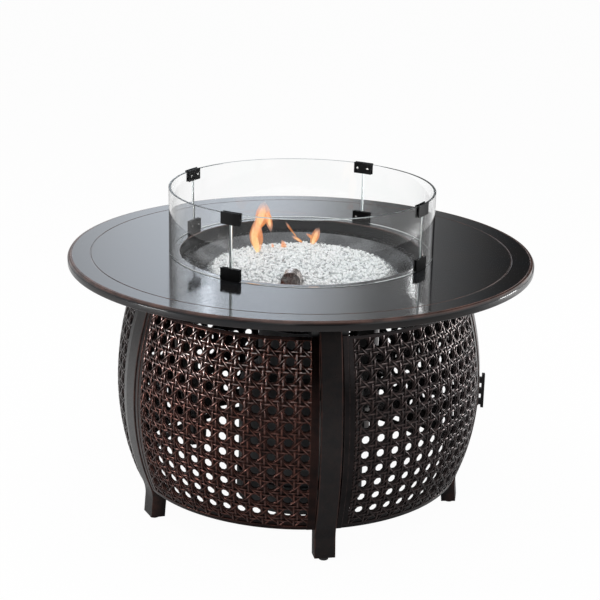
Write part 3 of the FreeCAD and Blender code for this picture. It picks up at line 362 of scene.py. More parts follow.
@dataclass(frozen=True)
class RubbedMetal(Finish):
    """Dark paint on a casting, rubbed through to copper where the surface stands proud, with
    painted glints (a pale colour) on its crests.
    """

    name: str
    slot: str
    dark: Colour = (0.0060, 0.0045, 0.0045)
    warm: Colour = (0.0140, 0.0070, 0.0062)
    copper: Colour = (0.095, 0.034, 0.024)
    amount: float = 1.0
    roughness: float = 0.22
    rough_spread: float = 0.12
    metallic: float = 0.85
    coat: float = 0.05
    bump: float = 0.12
    scale: float = 26.0
    # Share, colour and places of pale crests that are painted glints (painted highlight), more of
    # them higher up
    glint_polish: float = 0.0
    coat_rough: float = 0.16
    polished_glint: Colour = (0.36, 0.31, 0.30)
    film: Colour = (0.06, 0.057, 0.055)
    glint_wear: Span = (0.78, 0.98)
    glint_heights: Span = (0.34, 0.53)
    glint_low: float = 0.10

    def painted_glints(self, kit: NodeTree, wear: bpy.types.NodeSocket, noise: bpy.types.Node
               ) -> bpy.types.NodeSocket:
        """Mark the crests that take a pale colour as painted glints, more of them higher up.

        Args:
            kit: The material's node tree.
            wear: The mesh's wear value.
            noise: The grain group of the material.

        Returns:
            The share of the pale painted glint colour.
        """
        place = kit.add("TexCoord").outputs["Object"]
        height = kit.add("SeparateXYZ", {0: place}).outputs["Z"]
        crest = kit.span(wear, *self.glint_wear)
        patch = kit.span(noise.outputs["Broad"], 0.35, 0.6, 0.35, 1.0)
        share = kit.math("MULTIPLY", kit.math("MULTIPLY", crest, patch),
                         kit.span(height, *self.glint_heights, self.glint_low, 1.0))
        return kit.math("MULTIPLY", share, self.glint_polish)

    def paint(self, kit: NodeTree, shader: bpy.types.Node, effects: Effects) -> None:
        """Mix paint and copper by the mesh's wear value and broken noise, and paint pale glints on
        the crests.

        Args:
            kit: The material's node tree.
            shader: Its Principled shader.
            effects: The shared effect groups.
        """
        noise = kit.group(effects.grain(), Scale=self.scale)
        wear = kit.add("Attribute", attribute_name="wear").outputs["Fac"]
        rubbed = kit.group(effects.rub(), Wear=wear, Amount=self.amount,
                           Scale=self.scale * 2.2).outputs["Mask"]
        edge = kit.group(effects.edges(), Reach=0.0009, Amount=0.35).outputs["Mask"]
        mask = kit.math("MAXIMUM", rubbed, edge)
        film = kit.group(effects.dust(), Amount=0.10).outputs["Mask"]
        paint = kit.blend(kit.span(noise.outputs["Broad"], *NOISE_MIDDLE), self.dark, self.warm)
        colour = kit.blend(mask, paint, self.copper)
        # Painted highlight: a pale glint colour on the crests
        colour = kit.blend(self.painted_glints(kit, wear, noise), colour, self.polished_glint)
        colour = kit.blend(film, colour, self.film)
        kit.feed(shader.inputs["Base Color"], colour)
        half = self.rough_spread / 2
        base = kit.span(noise.outputs["Fine"], *NOISE_WIDE, self.roughness - half,
                        self.roughness + half)
        kit.feed(shader.inputs["Roughness"], base)
        metal = kit.span(mask, 0.0, 1.0, self.metallic, self.metallic - 0.1, smooth=False)
        kit.feed(shader.inputs["Metallic"], metal)
        shader.inputs["Coat Weight"].default_value = self.coat
        shader.inputs["Coat Roughness"].default_value = self.coat_rough
        bump = kit.add("Bump", {"Height": noise.outputs["Fine"], "Strength": self.bump,
                                "Distance": 0.0004})
        kit.feed(shader.inputs["Normal"], bump.outputs[0])


@dataclass(frozen=True)
class GlossTop(Finish):
    """Smooth dark gloss of the tabletop, with copper at the worn lines of its rim that also paints
    highlights along them.
    """

    name: str = "tabletop_gloss"
    slot: str = "tabletop_metal"
    dark: Colour = (0.0080, 0.0090, 0.0105)
    warm: Colour = (0.0105, 0.0100, 0.0102)
    # Pinkish copper of the worn lines: rubbed paint, and partly a painted highlight along the rim's
    # edges
    copper: Colour = (0.165, 0.088, 0.071)
    roughness: float = 0.095

    def paint(self, kit: NodeTree, shader: bpy.types.Node, effects: Effects) -> None:
        """Lay a gloss with a slight orange peel over the dark paint.

        Args:
            kit: The material's node tree.
            shader: Its Principled shader.
            effects: The shared effect groups.
        """
        noise = kit.group(effects.grain(), Scale=9.0)
        wear = kit.add("Attribute", attribute_name="wear").outputs["Fac"]
        rubbed = kit.group(effects.rub(), Wear=wear, Amount=1.0, Scale=22.0).outputs["Mask"]
        paint = kit.blend(kit.span(noise.outputs["Broad"], 0.35, 0.68), self.dark, self.warm)
        # Copper on the worn lines, partly standing for painted highlights along the edges
        kit.feed(shader.inputs["Base Color"], kit.blend(rubbed, paint, self.copper))
        smear = kit.span(noise.outputs["Fine"], *NOISE_WIDE, self.roughness - 0.02,
                         self.roughness + 0.03)
        rough = kit.math("ADD", smear, kit.math("MULTIPLY", rubbed, 0.12))
        kit.feed(shader.inputs["Roughness"], rough)
        kit.feed(shader.inputs["Metallic"], kit.math("MULTIPLY", rubbed, 0.6))
        shader.inputs["Specular IOR Level"].default_value = 0.24
        shader.inputs["Coat Weight"].default_value = 0.05
        shader.inputs["Coat Roughness"].default_value = 0.06
        peel = kit.add("TexNoise", {"Vector": kit.add("TexCoord").outputs["Object"], "Scale": 420.0,
                                    "Detail": 1.0})
        bump = kit.add("Bump", {"Height": peel.outputs[0], "Strength": 0.012, "Distance": 0.0003})
        kit.feed(shader.inputs["Normal"], bump.outputs[0])


@dataclass(frozen=True)
class Painted(Finish):
    """Plain paint or moulded plastic with a slight grain, edge wear and dust."""

    name: str
    slot: str
    colour: Colour
    worn: Colour = (0.18, 0.17, 0.16)
    roughness: float = 0.45
    metallic: float = 0.0
    coat: float = 0.0
    wear: float = 0.3
    grain: float = 60.0
    bump: float = 0.15
    dust: float = 0.12
    sheen: float = 0.5
    rough_spread: float = 0.12
    film: Colour = (0.16, 0.155, 0.15)

    def paint(self, kit: NodeTree, shader: bpy.types.Node, effects: Effects) -> None:
        """Vary the paint with noise and lighten its edges.

        Args:
            kit: The material's node tree.
            shader: Its Principled shader.
            effects: The shared effect groups.
        """
        noise = kit.group(effects.grain(), Scale=self.grain)
        deep = tuple(part * 0.78 for part in self.colour)
        light = tuple(min(1.0, part * 1.22) for part in self.colour)
        paint = kit.blend(kit.span(noise.outputs["Broad"], *NOISE_MIDDLE), deep, light)
        edge = kit.group(effects.edges(), Reach=0.0007, Amount=self.wear).outputs["Mask"]
        film = kit.group(effects.dust(), Amount=self.dust).outputs["Mask"]
        colour = kit.blend(edge, paint, self.worn)
        colour = kit.blend(film, colour, self.film)
        kit.feed(shader.inputs["Base Color"], colour)
        half = self.rough_spread / 2
        rough = kit.span(noise.outputs["Fine"], *NOISE_WIDE, self.roughness - half,
                         self.roughness + half)
        kit.feed(shader.inputs["Roughness"], rough)
        shader.inputs["Metallic"].default_value = self.metallic
        shader.inputs["Specular IOR Level"].default_value = self.sheen
        shader.inputs["Coat Weight"].default_value = self.coat
        bump = kit.add("Bump", {"Height": noise.outputs["Fine"], "Strength": self.bump,
                                "Distance": 0.0003})
        kit.feed(shader.inputs["Normal"], bump.outputs[0])


@dataclass(frozen=True)
class BareMetal(Finish):
    """Bare metal with drawn or turned marks and, where heated, a tint.

    A wear value on the mesh keeps the tint away.
    """

    name: str
    slot: str
    colour: Colour
    tint: Colour = (0.0, 0.0, 0.0)
    tint_share: float = 0.0
    roughness: float = 0.28
    stretch: float = 0.08
    grain: float = 40.0
    metallic: float = 1.0

    def paint(self, kit: NodeTree, shader: bpy.types.Node, effects: Effects) -> None:
        """Stretch the noise along the marks and lay the heat tint over it.

        Args:
            kit: The material's node tree.
            shader: Its Principled shader.
            effects: The shared effect groups.
        """
        marks = kit.group(effects.grain(), Scale=self.grain * 4.0, Stretch=self.stretch)
        cloud = kit.group(effects.grain(), Scale=self.grain)
        deep = tuple(part * 0.7 for part in self.colour)
        metal = kit.blend(kit.span(marks.outputs["Fine"], *NOISE_WIDE), deep, self.colour)
        share = kit.span(cloud.outputs["Broad"], 0.36, 0.62, 0.0, self.tint_share)
        cool = kit.add("Attribute", attribute_name="wear").outputs["Fac"]
        share = kit.math("MULTIPLY", share, kit.math("SUBTRACT", 1.0, cool))
        edge = kit.group(effects.edges(), Reach=0.0006, Amount=0.4).outputs["Mask"]
        colour = kit.blend(share, metal, self.tint)
        colour = kit.blend(edge, colour, tuple(min(1.0, part * 1.3) for part in self.colour))
        kit.feed(shader.inputs["Base Color"], colour)
        rough = kit.span(marks.outputs["Broad"], *NOISE_WIDE, self.roughness - 0.08,
                         self.roughness + 0.1)
        kit.feed(shader.inputs["Roughness"], rough)
        shader.inputs["Metallic"].default_value = self.metallic
        bump = kit.add("Bump", {"Height": marks.outputs["Fine"], "Strength": 0.12,
                                "Distance": 0.0003})
        kit.feed(shader.inputs["Normal"], bump.outputs[0])


@dataclass(frozen=True)
class ClearGlass(Finish):
    """Clear glass with faint smears; a wear value on the mesh marks ground edges or milky beads.

    Shade is the share of the light that it holds back from what is behind it.
    """

    name: str
    slot: str
    colour: Colour
    smear: Colour
    transmission: float = 1.0
    roughness: float = 0.0
    ground: Colour = (0.80, 0.93, 0.90)
    smear_rough: float = 0.03
    ground_rough: float = 0.0
    bending: float = 1.5
    shade: float = 1.0

    def paint(self, kit: NodeTree, shader: bpy.types.Node, effects: Effects) -> None:
        """Tint the glass and vary its gloss with faint smears.

        Args:
            kit: The material's node tree.
            shader: Its Principled shader.
            effects: The shared effect groups.
        """
        noise = kit.group(effects.grain(), Scale=9.0)
        ground = kit.add("Attribute", attribute_name="wear").outputs["Fac"]
        share = kit.span(noise.outputs["Broad"], 0.4, 0.7)
        clear = kit.blend(share, self.colour, self.smear)
        kit.feed(shader.inputs["Base Color"], kit.blend(ground, clear, self.ground))
        smears = kit.span(noise.outputs["Broad"], 0.45, 0.75, self.roughness,
                          self.roughness + self.smear_rough)
        rough = kit.math("ADD", smears, kit.math("MULTIPLY", ground, self.ground_rough))
        kit.feed(shader.inputs["Roughness"], rough)
        shader.inputs["Metallic"].default_value = 0.0
        shader.inputs["Transmission Weight"].default_value = self.transmission
        shader.inputs["IOR"].default_value = self.bending
        shadow = kit.add("LightPath").outputs["Is Shadow Ray"]
        kit.feed(shader.inputs["Alpha"], kit.span(shadow, 0.0, 1.0, 1.0, self.shade, smooth=False))


@dataclass(frozen=True)
class FlameGlow(Finish):
    """Glowing gas flame that thins out at its tips and edges."""

    name: str
    slot: str
    root: Colour
    middle: Colour
    tip: Colour
    opacity: float = 0.8
    edge: float = 0.9
    strength: float = 1.0

    def paint(self, kit: NodeTree, shader: bpy.types.Node, effects: Effects) -> None:
        """Run the glow from root to tip and let it lick.

        Args:
            kit: The material's node tree.
            shader: Its Principled shader.
            effects: The shared effect groups; not used.
        """
        rise = kit.add("Attribute", attribute_name="wear").outputs["Fac"]
        place = kit.add("TexCoord").outputs["Object"]
        slim = kit.add("VectorMath", {0: place, 1: Vector((1.0, 1.0, 0.35))}, operation="MULTIPLY")
        lick = kit.add("TexNoise", {"Vector": slim.outputs[0], "Scale": 95.0, "Detail": 3.0,
                                    "Distortion": 0.6})
        shift = kit.math("MULTIPLY", kit.math("SUBTRACT", lick.outputs[0], 0.5), 0.6)
        height = kit.math("ADD", rise, shift, clamp=True)
        low = kit.blend(kit.span(height, 0.0, 0.5), self.root, self.middle)
        glow = kit.blend(kit.span(height, 0.45, 1.0), low, self.tip)
        kit.feed(shader.inputs["Emission Color"], glow)
        shader.inputs["Emission Strength"].default_value = self.strength
        kit.feed(shader.inputs["Base Color"], (0.0, 0.0, 0.0))
        shader.inputs["Roughness"].default_value = 1.0
        shader.inputs["Specular IOR Level"].default_value = 0.0
        facing = kit.add("LayerWeight", {"Blend": 0.35}).outputs["Facing"]
        body = kit.span(facing, self.edge, 0.1)
        fade = kit.span(height, 1.0, 0.6)
        foot = kit.span(rise, 0.0, 0.12, 0.2, 1.0)
        wisp = kit.span(lick.outputs[0], 0.34, 0.62, 0.45, 1.0)
        thin = kit.math("MULTIPLY", kit.math("MULTIPLY", body, fade), foot)
        thin = kit.math("MULTIPLY", thin, wisp)
        kit.feed(shader.inputs["Alpha"], kit.math("MULTIPLY", thin, self.opacity, clamp=True))


class Finishes:
    """Every finish of the table, by the piece it is for."""

    # The red casting dresses panel 4 at the front left: more copper and much stronger painted
    # glints than the plain casting of the other panels
    CASTING_RED = RubbedMetal("casting_rubbed_red", "bronze_metal", amount=0.75, glint_polish=0.9,
                              metallic=0.97)
    CASTING_PLAIN = RubbedMetal("casting_rubbed_plain", "bronze_metal", amount=0.36, glint_polish=0.28,
                                dark=(0.0055, 0.0052, 0.0055), warm=(0.0090, 0.0077, 0.0080),
                                copper=(0.090, 0.055, 0.050), metallic=0.93)
    POST = RubbedMetal("post_satin", "bronze_metal", dark=(0.0065, 0.0068, 0.0075),
                       warm=(0.0095, 0.0088, 0.0090), roughness=0.33, amount=0.4, bump=0.05,
                       copper=(0.10, 0.036, 0.024), metallic=0.75, coat=0.06)
    RING = RubbedMetal("ring_paint", "bronze_metal", amount=0.5)
    TOP = GlossTop()
    # The bowl's pale worn edges, at a high amount, are a painted highlight along its flange and
    # mouth edges
    BOWL = Painted("bowl_heat_paint", "bowl_metal", (0.085, 0.088, 0.092), roughness=0.24,
                   worn=(0.45, 0.46, 0.47), metallic=0.9, wear=0.9, grain=22.0, dust=0.04)
    STEEL = BareMetal("burner_steel", "stainless", (0.55, 0.54, 0.52))
    HOOD = BareMetal("hood_heat_tint", "hood_stainless", (0.46, 0.42, 0.40),
                     tint=(0.13, 0.034, 0.019), tint_share=1.0, roughness=0.26, grain=45.0,
                     stretch=0.8, metallic=0.7)
    CERAMIC = Painted("electrode_ceramic", "white_ceramic", (0.80, 0.78, 0.72), roughness=0.25,
                      coat=0.5, wear=0.0, bump=0.05)
    BEAD = ClearGlass("bead_milky", "bead_glass", (1.0, 1.0, 1.0), (0.97, 0.99, 1.0),
                      ground=(0.96, 0.99, 1.0), transmission=0.22, roughness=0.03, shade=0.35)
    BEAD_CLEAR = ClearGlass("bead_clear", "bead_glass", (1.0, 1.0, 1.0), (0.97, 0.99, 1.0),
                            ground=(0.96, 0.99, 1.0), transmission=0.9, bending=1.42, shade=0.3)
    CLIP = Painted("clip_satin_black", "clip_black", (0.004, 0.004, 0.0045), roughness=0.4,
                   worn=(0.05, 0.05, 0.05), wear=0.4, dust=0.015, sheen=0.04)
    SCREW = BareMetal("screw_zinc", "screw_steel", (0.45, 0.45, 0.44), grain=120.0)
    SHEET = Painted("sheet_black_paint", "dark_steel", (0.016, 0.016, 0.017), wear=0.5)
    HANDLE = RubbedMetal("handle_casting", "handle_metal", amount=0.25, roughness=0.4,
                         dark=(0.007, 0.007, 0.0075), warm=(0.012, 0.011, 0.011))
    PLASTIC = Painted("knob_plastic", "black_plastic", (0.014, 0.014, 0.015), roughness=0.5,
                      wear=0.15, grain=240.0, bump=0.3)
    BUTTON = Painted("button_plastic_red", "button_plastic", (0.30, 0.022, 0.016), roughness=0.3,
                     coat=0.3, wear=0.1, worn=(0.45, 0.1, 0.08))
    TANK = Painted("tank_powder_paint", "tank_paint", (0.030, 0.030, 0.032), roughness=0.45,
                   wear=0.4, grain=30.0, bump=0.3, dust=0.3)
    BRASS = BareMetal("valve_brass", "brass", (0.60, 0.40, 0.16), tint=(0.30, 0.19, 0.08),
                      tint_share=0.7)
    REGULATOR = Painted("regulator_casting", "regulator_metal", (0.065, 0.066, 0.07), metallic=0.5,
                        roughness=0.5, grain=90.0, bump=0.4)
    HOSE = Painted("hose_rubber", "hose_rubber", (0.014, 0.014, 0.014), roughness=0.55, wear=0.0,
                   grain=160.0, bump=0.25)
    PIPE = BareMetal("pipe_drawn", "pipe_aluminium", (0.16, 0.16, 0.165), roughness=0.4)
    GLIDE = Painted("glide_moulded", "glide_plastic", (0.011, 0.011, 0.012), roughness=0.6,
                    wear=0.1, dust=0.25)
    PANE = ClearGlass("pane_clear", "guard_glass", (1.0, 1.0, 1.0), (0.985, 0.998, 0.993),
                      ground=(0.58, 0.70, 0.69), smear_rough=0.008, ground_rough=0.35,
                      bending=1.3, shade=0.1)
    FLAME = FlameGlow("flame_glow", "bead_glass", (1.0, 0.40, 0.11), (1.0, 0.33, 0.10),
                      (1.0, 0.64, 0.52), opacity=0.54, edge=0.85, strength=1.05)
    FLAME_CORE = FlameGlow("flame_core_glow", "bead_glass", (1.0, 0.84, 0.46), (1.0, 0.72, 0.34),
                           (1.0, 0.64, 0.42), opacity=0.90, edge=0.66, strength=1.28)


# Mesh building


def radial(azimuth: np.ndarray | float) -> np.ndarray:
    """Return unit vectors outward at azimuths given in degrees.

    Args:
        azimuth: One azimuth or an array of them.

    Returns:
        An array whose last axis holds X, Y and Z.
    """
    turn = np.radians(azimuth)
    return np.stack([np.sin(turn), -np.cos(turn), np.zeros_like(turn)], axis=-1)


def rounded(corners: Sequence[tuple], steps: int = 4) -> list[tuple[float, float, float]]:
    """Round the corners of an outline.

    Args:
        corners: Places in millimetres with the radius of the rounding and a wear value.
        steps: Points on each rounding.

    Returns:
        Places in millimetres with their wear values.
    """
    result = []
    count = len(corners)
    for index, (across, height, radius, wear) in enumerate(corners):
        here = np.array([across, height])
        before = np.array(corners[index - 1][:2])
        after = np.array(corners[(index + 1) % count][:2])
        if radius <= 0.0:
            result.append((across, height, wear))
            continue
        into = (here - before) / np.linalg.norm(here - before)
        out = (after - here) / np.linalg.norm(after - here)
        half = math.acos(max(-1.0, min(1.0, float(into @ out)))) / 2.0
        trim = radius * math.tan(half)
        start = here - into * trim
        side = out - into
        centre = here + side / np.linalg.norm(side) * (radius / math.cos(half))
        first = start - centre
        last = here + out * trim - centre
        for step in range(steps + 1):
            share = step / steps
            arm = first * (1.0 - share) + last * share
            arm = arm / np.linalg.norm(arm) * radius
            spot = centre + arm
            result.append((float(spot[0]), float(spot[1]), wear))
    return result


def box_section(width: float, low: float, high: float, bevel: float, wear: float) -> np.ndarray:
    """Cross-section of a bar with bevelled edges, worn along the outer two.

    Args:
        width: Width across.
        low: Height of its inner face.
        high: Height of its outer face.
        bevel: Size of the bevels.
        wear: Wear value on the outer bevels.

    Returns:
        Rows of across, height and wear.
    """
    half = width / 2.0
    face = wear * 0.12
    return np.array([
        (half, high - bevel, wear * 0.8), (half - bevel * 0.3, high - bevel * 0.3, wear),
        (half - bevel, high, wear * 0.9), (half - bevel * 1.8, high, face),
        (-half + bevel * 1.8, high, face), (-half + bevel, high, wear * 0.9),
        (-half + bevel * 0.3, high - bevel * 0.3, wear), (-half, high - bevel, wear * 0.8),
        (-half, low, 0.0), (half, low, 0.0),
    ])


class Shells:
    """Collects closed shells of points and faces, with a wear value for each point."""

    def __init__(self) -> None:
        """Start empty."""
        self.points: list[np.ndarray] = []
        self.wear: list[np.ndarray] = []
        self.faces: list[tuple[int, ...]] = []
        self.count = 0

    def add_points(self, points: np.ndarray, wear: np.ndarray | float) -> int:
        """Add points.

        Args:
            points: Places in metres, one row each.
            wear: Wear of each point, or one for all.

        Returns:
            The number of the first new point.
        """
        first = self.count
        self.points.append(points.reshape(-1, 3))
        size = self.points[-1].shape[0]
        self.wear.append(np.broadcast_to(np.asarray(wear, float).reshape(-1), (size,))
                         if np.ndim(wear) == 0 or np.size(wear) == 1
                         else np.asarray(wear, float).reshape(-1))
        self.count += size
        return first

    def add_grid(self, points: np.ndarray, wear: np.ndarray | float, wrap_rows: bool = False,
                 caps: bool = True) -> None:
        """Add a tube or a ring made of closed loops.

        Args:
            points: Places, as rows of loops, each loop a row of points that closes on itself.
            wear: Wear of each point, or one for all.
            wrap_rows: Whether the last loop joins the first.
            caps: Whether the first and last loops are closed by a face.
        """
        rows, columns = points.shape[:2]
        first = self.add_points(points, wear)
        for row in range(rows if wrap_rows else rows - 1):
            low = first + row * columns
            high = first + ((row + 1) % rows) * columns
            for column in range(columns):
                after = (column + 1) % columns
                self.faces.append((low + column, low + after, high + after, high + column))
        if caps and not wrap_rows:
            self.faces.append(tuple(first + column for column in reversed(range(columns))))
            last = first + (rows - 1) * columns
            self.faces.append(tuple(last + column for column in range(columns)))

    def sweep(self, centres: np.ndarray, outward: np.ndarray, section: np.ndarray,
              wear_scale: np.ndarray | float = 1.0) -> None:
        """Sweep a closed cross-section along a line.

        Args:
            centres: Places along the line.
            outward: Unit vector of the section's height at each place.
            section: Rows of across, height and wear, in metres.
            wear_scale: Factor on the wear at each place.
        """
        along = np.gradient(centres, axis=0)
        along /= np.linalg.norm(along, axis=1, keepdims=True)
        side = np.cross(along, outward)
        side /= np.linalg.norm(side, axis=1, keepdims=True)
        rise = np.cross(side, along)
        loops = (centres[:, None, :] + side[:, None, :] * section[None, :, 0, None]
                 + rise[:, None, :] * section[None, :, 1, None])
        scale = np.broadcast_to(np.asarray(wear_scale, float), (centres.shape[0],))
        wear = section[None, :, 2] * scale[:, None]
        self.add_grid(loops[:, ::-1, :], wear[:, ::-1])

    def lathe(self, outline: Iterable[tuple[float, float, float]], steps: int = 192) -> None:
        """Turn a closed outline about the Z axis.

        Args:
            outline: Radius, height and wear, in millimetres, clockwise seen with +X right.
            steps: Number of places round the axis.
        """
        rows = np.array(list(outline))
        spokes = radial(np.arange(steps) * 360.0 / steps)
        ring = spokes[:, None, :] * rows[None, :, 0, None] * MM
        ring[:, :, 2] = rows[None, :, 1] * MM
        wear = np.broadcast_to(rows[None, :, 2], ring.shape[:2]).copy()
        self.add_grid(ring, wear, wrap_rows=True)

    def move(self, turn: float, place: Sequence[float] = (0.0, 0.0, 0.0)) -> None:
        """Turn everything from the +X side to an azimuth, then move it.

        Args:
            turn: The azimuth that +X goes to.
            place: The move in metres.
        """
        spin = np.array(Matrix.Rotation(math.radians(turn - 90.0), 3, "Z"))
        self.points = [points @ spin.T + np.asarray(place) for points in self.points]

    def build(self, name: str, finish: Finish, effects: Effects, sharp: float = 35.0
              ) -> bpy.types.Object:
        """Make the object.

        Args:
            name: Name of the piece.
            finish: Its finish.
            effects: The shared effect groups.
            sharp: Angle in degrees above which an edge stays sharp.

        Returns:
            The object, with outward faces.
        """
        mesh = bpy.data.meshes.new(name)
        mesh.from_pydata(np.concatenate(self.points).tolist(), [], self.faces)
        layer = mesh.attributes.new("wear", "FLOAT", "POINT")
        layer.data.foreach_set("value", np.concatenate(self.wear).astype(np.float32))
        shape = bmesh.new()
        shape.from_mesh(mesh)
        bmesh.ops.recalc_face_normals(shape, faces=shape.faces)
        shape.to_mesh(mesh)
        shape.free()
        mesh.shade_smooth()
        mesh.set_sharp_from_angle(angle=math.radians(sharp))
        mesh.materials.append(finish.material(effects))
        piece = bpy.data.objects.new(name, mesh)
        bpy.context.scene.collection.objects.link(piece)
        return piece


class Assembly:
    """A sub-assembly that makes pieces, dresses them and reports them."""

    def __init__(self, effects: Effects) -> None:
        """Keep the shared effect groups."""
        self.effects = effects

    def place(self, piece: bpy.types.Object, body: str, finish: Finish, *nodes: str) -> None:
        """Let a piece ride on a body and stand for its nodes.

        Args:
            piece: The piece.
            body: Name of the body.
            finish: Its finish; not used.
            nodes: The nodes that it stands for.
        """
        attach(piece, body)
        if nodes:
            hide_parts(*nodes)
        LOG.info("%s rides on %s: %d faces", piece.name, body, len(piece.data.polygons))

    def dress(self, frame: dict, finish: Finish, *nodes: str) -> None:
        """Give carried-over nodes a finish.

        Args:
            frame: The loaded frame.
            finish: The finish.
            nodes: Names of the nodes.
        """
        material = finish.material(self.effects)
        for name in nodes:
            piece = frame["nodes"][name]
            for slot in piece.material_slots:
                slot.material = material
            LOG.info("%s dressed in %s", name, finish.name)


# The barrel and its panels


@dataclass
class Barrel:
    """Curved side that posts and panels follow: two arcs that meet at the widest place."""

    widest: float = 444.5
    middle: float = 305.0
    lower: float = 610.0
    upper: float = 740.0

    def run(self, height: float) -> float:
        """Return the run along the outline from the middle to a height, in millimetres."""
        bow = self.upper if height > self.middle else self.lower
        return bow * math.asin((height - self.middle) / bow)

    def place(self, run: np.ndarray, azimuth: np.ndarray, lift: np.ndarray | float) -> np.ndarray:
        """Find points off the surface.

        Args:
            run: Run along the outline, in millimetres.
            azimuth: Azimuth in degrees.
            lift: Height above the surface, in millimetres.

        Returns:
            Places in metres.
        """
        bow = np.where(run > 0.0, self.upper, self.lower)
        tilt = run / bow
        radius = self.widest - bow + (bow + lift) * np.cos(tilt)
        spot = radial(azimuth) * radius[..., None]
        spot[..., 2] = self.middle + (bow + lift) * np.sin(tilt)
        return spot * MM

    def outward(self, run: np.ndarray, azimuth: np.ndarray) -> np.ndarray:
        """Find unit vectors square to the surface.

        Args:
            run: Run along the outline, in millimetres.
            azimuth: Azimuth in degrees.

        Returns:
            The vectors, in an array whose last axis holds X, Y and Z.
        """
        tilt = run / np.where(run > 0.0, self.upper, self.lower)
        normal = radial(azimuth) * np.cos(tilt)[..., None]
        normal[..., 2] = np.sin(tilt)
        return normal


class Lean(Enum):
    """Ways that a diagonal strand leans."""

    RISING = 1
    FALLING = -1


@dataclass
class CanePanel:
    """Cast panel in the form of cane webbing: a pierced plate with woven strands over it.

    Places on the panel are counted in weave cells: u from its first upright pair towards
    larger azimuths, v from its lowest level pair upwards.
    """

    azimuth: float
    half_angle: float = 32.4
    barrel: Barrel = field(default_factory=Barrel)
    start: float = -28.1
    pitch: float = 4.927
    cells: int = 12
    bottom: float = 81.0
    first_level: float = 110.0
    top: float = 545.0
    sheet: float = 7.0
    web_face: float = -2.1
    strand_level: float = -1.65
    strand_wave: float = 1.1
    strand_half_width: float = 2.5
    strand_half_depth: float = 1.75
    diagonal_half_width: float = 2.1
    corner_reach: float = 1.07
    draft: float = 0.6
    pair_offset: float = 0.118
    hole: float = 9.6
    hole_points: int = 16
    edge_face: float = 0.4
    strand_left: float = -0.19
    strand_floor: float = -0.47
    strand_trim: float = 0.2
    stile_edge: float = -0.2
    far_stile: float = 0.245
    rail: float = 0.235
    plain_band: float = 0.52

    def __post_init__(self) -> None:
        """Work out the weave's levels."""
        self.low_run = self.barrel.run(self.first_level)
        self.high_run = self.barrel.run(self.top)
        self.level = (self.high_run - self.low_run) / self.cells
        self.u_low = (-self.half_angle - self.start) / self.pitch
        self.u_high = (self.half_angle - self.start) / self.pitch
        self.v_low = (self.barrel.run(self.bottom) - self.low_run) / self.level

    def spot(self, u: np.ndarray, v: np.ndarray, lift: np.ndarray | float) -> np.ndarray:
        """Return places in metres from weave places and a lift in millimetres."""
        return self.barrel.place(self.low_run + v * self.level,
                                 self.azimuth + self.start + u * self.pitch, lift)

    def normal(self, u: np.ndarray, v: np.ndarray) -> np.ndarray:
        """Return unit vectors square to the panel."""
        return self.barrel.outward(self.low_run + v * self.level,
                                   self.azimuth + self.start + u * self.pitch)

    def wave(self, along: np.ndarray, phase: int, flip: float) -> np.ndarray:
        """Height of an upright or level strand over and under the others.

        Args:
            along: Place along the strand, in cells.
            phase: +1 or -1, the side of the pair that the strand is on.
            flip: +1 for uprights and -1 for level strands.

        Returns:
            Heights from -1 to 1.
        """
        offset = self.pair_offset
        share = along - np.floor(along)
        share = np.where(share > 1.0 - offset, share - 1.0, share)
        keys = np.array([-offset, offset, 0.5 - offset, 0.5 + offset, 1.0 - offset])
        values = np.array([-1.0, 1.0, 1.0, -1.0, -1.0]) * phase * flip
        smooth = np.interp(share, keys, values)
        return np.sin(smooth * math.pi / 2.0)

    def section(self, half_width: float) -> np.ndarray:
        """Cross-section of a strand: a flattened round, worn on its outer side.

        Args:
            half_width: Half of its width in millimetres.

        Returns:
            Rows of across, height and wear, in metres.
        """
        turns = np.radians(np.arange(0.0, 360.0, 45.0) + 22.5)
        across = np.cos(turns) * half_width * 1.04
        height = np.sin(turns) * self.strand_half_depth * 1.06
        wear = np.clip(np.sin(turns) * 1.15, 0.0, 1.0) ** 1.4
        return np.stack([across * MM, height * MM, wear], axis=1)

    def lay(self, shells: Shells, u: np.ndarray, v: np.ndarray, wave: np.ndarray,
            section: np.ndarray) -> None:
        """Lay one strand along weave places.

        Args:
            shells: Where the strand goes.
            u: Places across.
            v: Places up.
            wave: Heights from -1 to 1.
            section: Its cross-section.
        """
        lift = self.strand_level + self.strand_wave * wave
        shells.sweep(self.spot(u, v, lift), self.normal(u, v), section, 0.62 + 0.38 * wave)

    def keys(self, low: float, high: float) -> np.ndarray:
        """List the places along a strand where it needs points.

        Args:
            low: Where the strand starts, in cells.
            high: Where it ends.

        Returns:
            The places in order, with both ends.
        """
        offset = self.pair_offset
        marks = []
        for cell in range(math.floor(low), math.ceil(high) + 1):
            marks += [cell + step for step in (-offset, 0.0, offset, 0.25, 0.5 - offset, 0.5,
                                               0.5 + offset, 0.75)]
        inside = [mark for mark in marks if low < mark < high]
        return np.array([low] + inside + [high])

    def add_strands(self, shells: Shells) -> None:
        """Lay the upright and level pairs and the diagonals both ways.

        Args:
            shells: Where the strands go.
        """
        left, right = self.strand_left, self.cells - self.strand_trim
        floor, roof = self.strand_floor, self.cells - self.strand_trim
        section = self.section(self.strand_half_width)
        offset = self.pair_offset
        for cell in range(self.cells):
            for side in (-1, 1):
                v = self.keys(floor, roof)
                u = np.full_like(v, cell + side * offset)
                self.lay(shells, u, v, self.wave(v, side, 1.0), section)
                u = self.keys(left, right)
                v = np.full_like(u, cell + side * offset)
                self.lay(shells, u, v, self.wave(u, side, -1.0), section)
        thin = self.section(self.diagonal_half_width)
        for lean in Lean:
            for line in range(-self.cells, 2 * self.cells + 1):
                self.add_diagonal(shells, lean, line + 0.5, (left, right, floor, roof), thin)

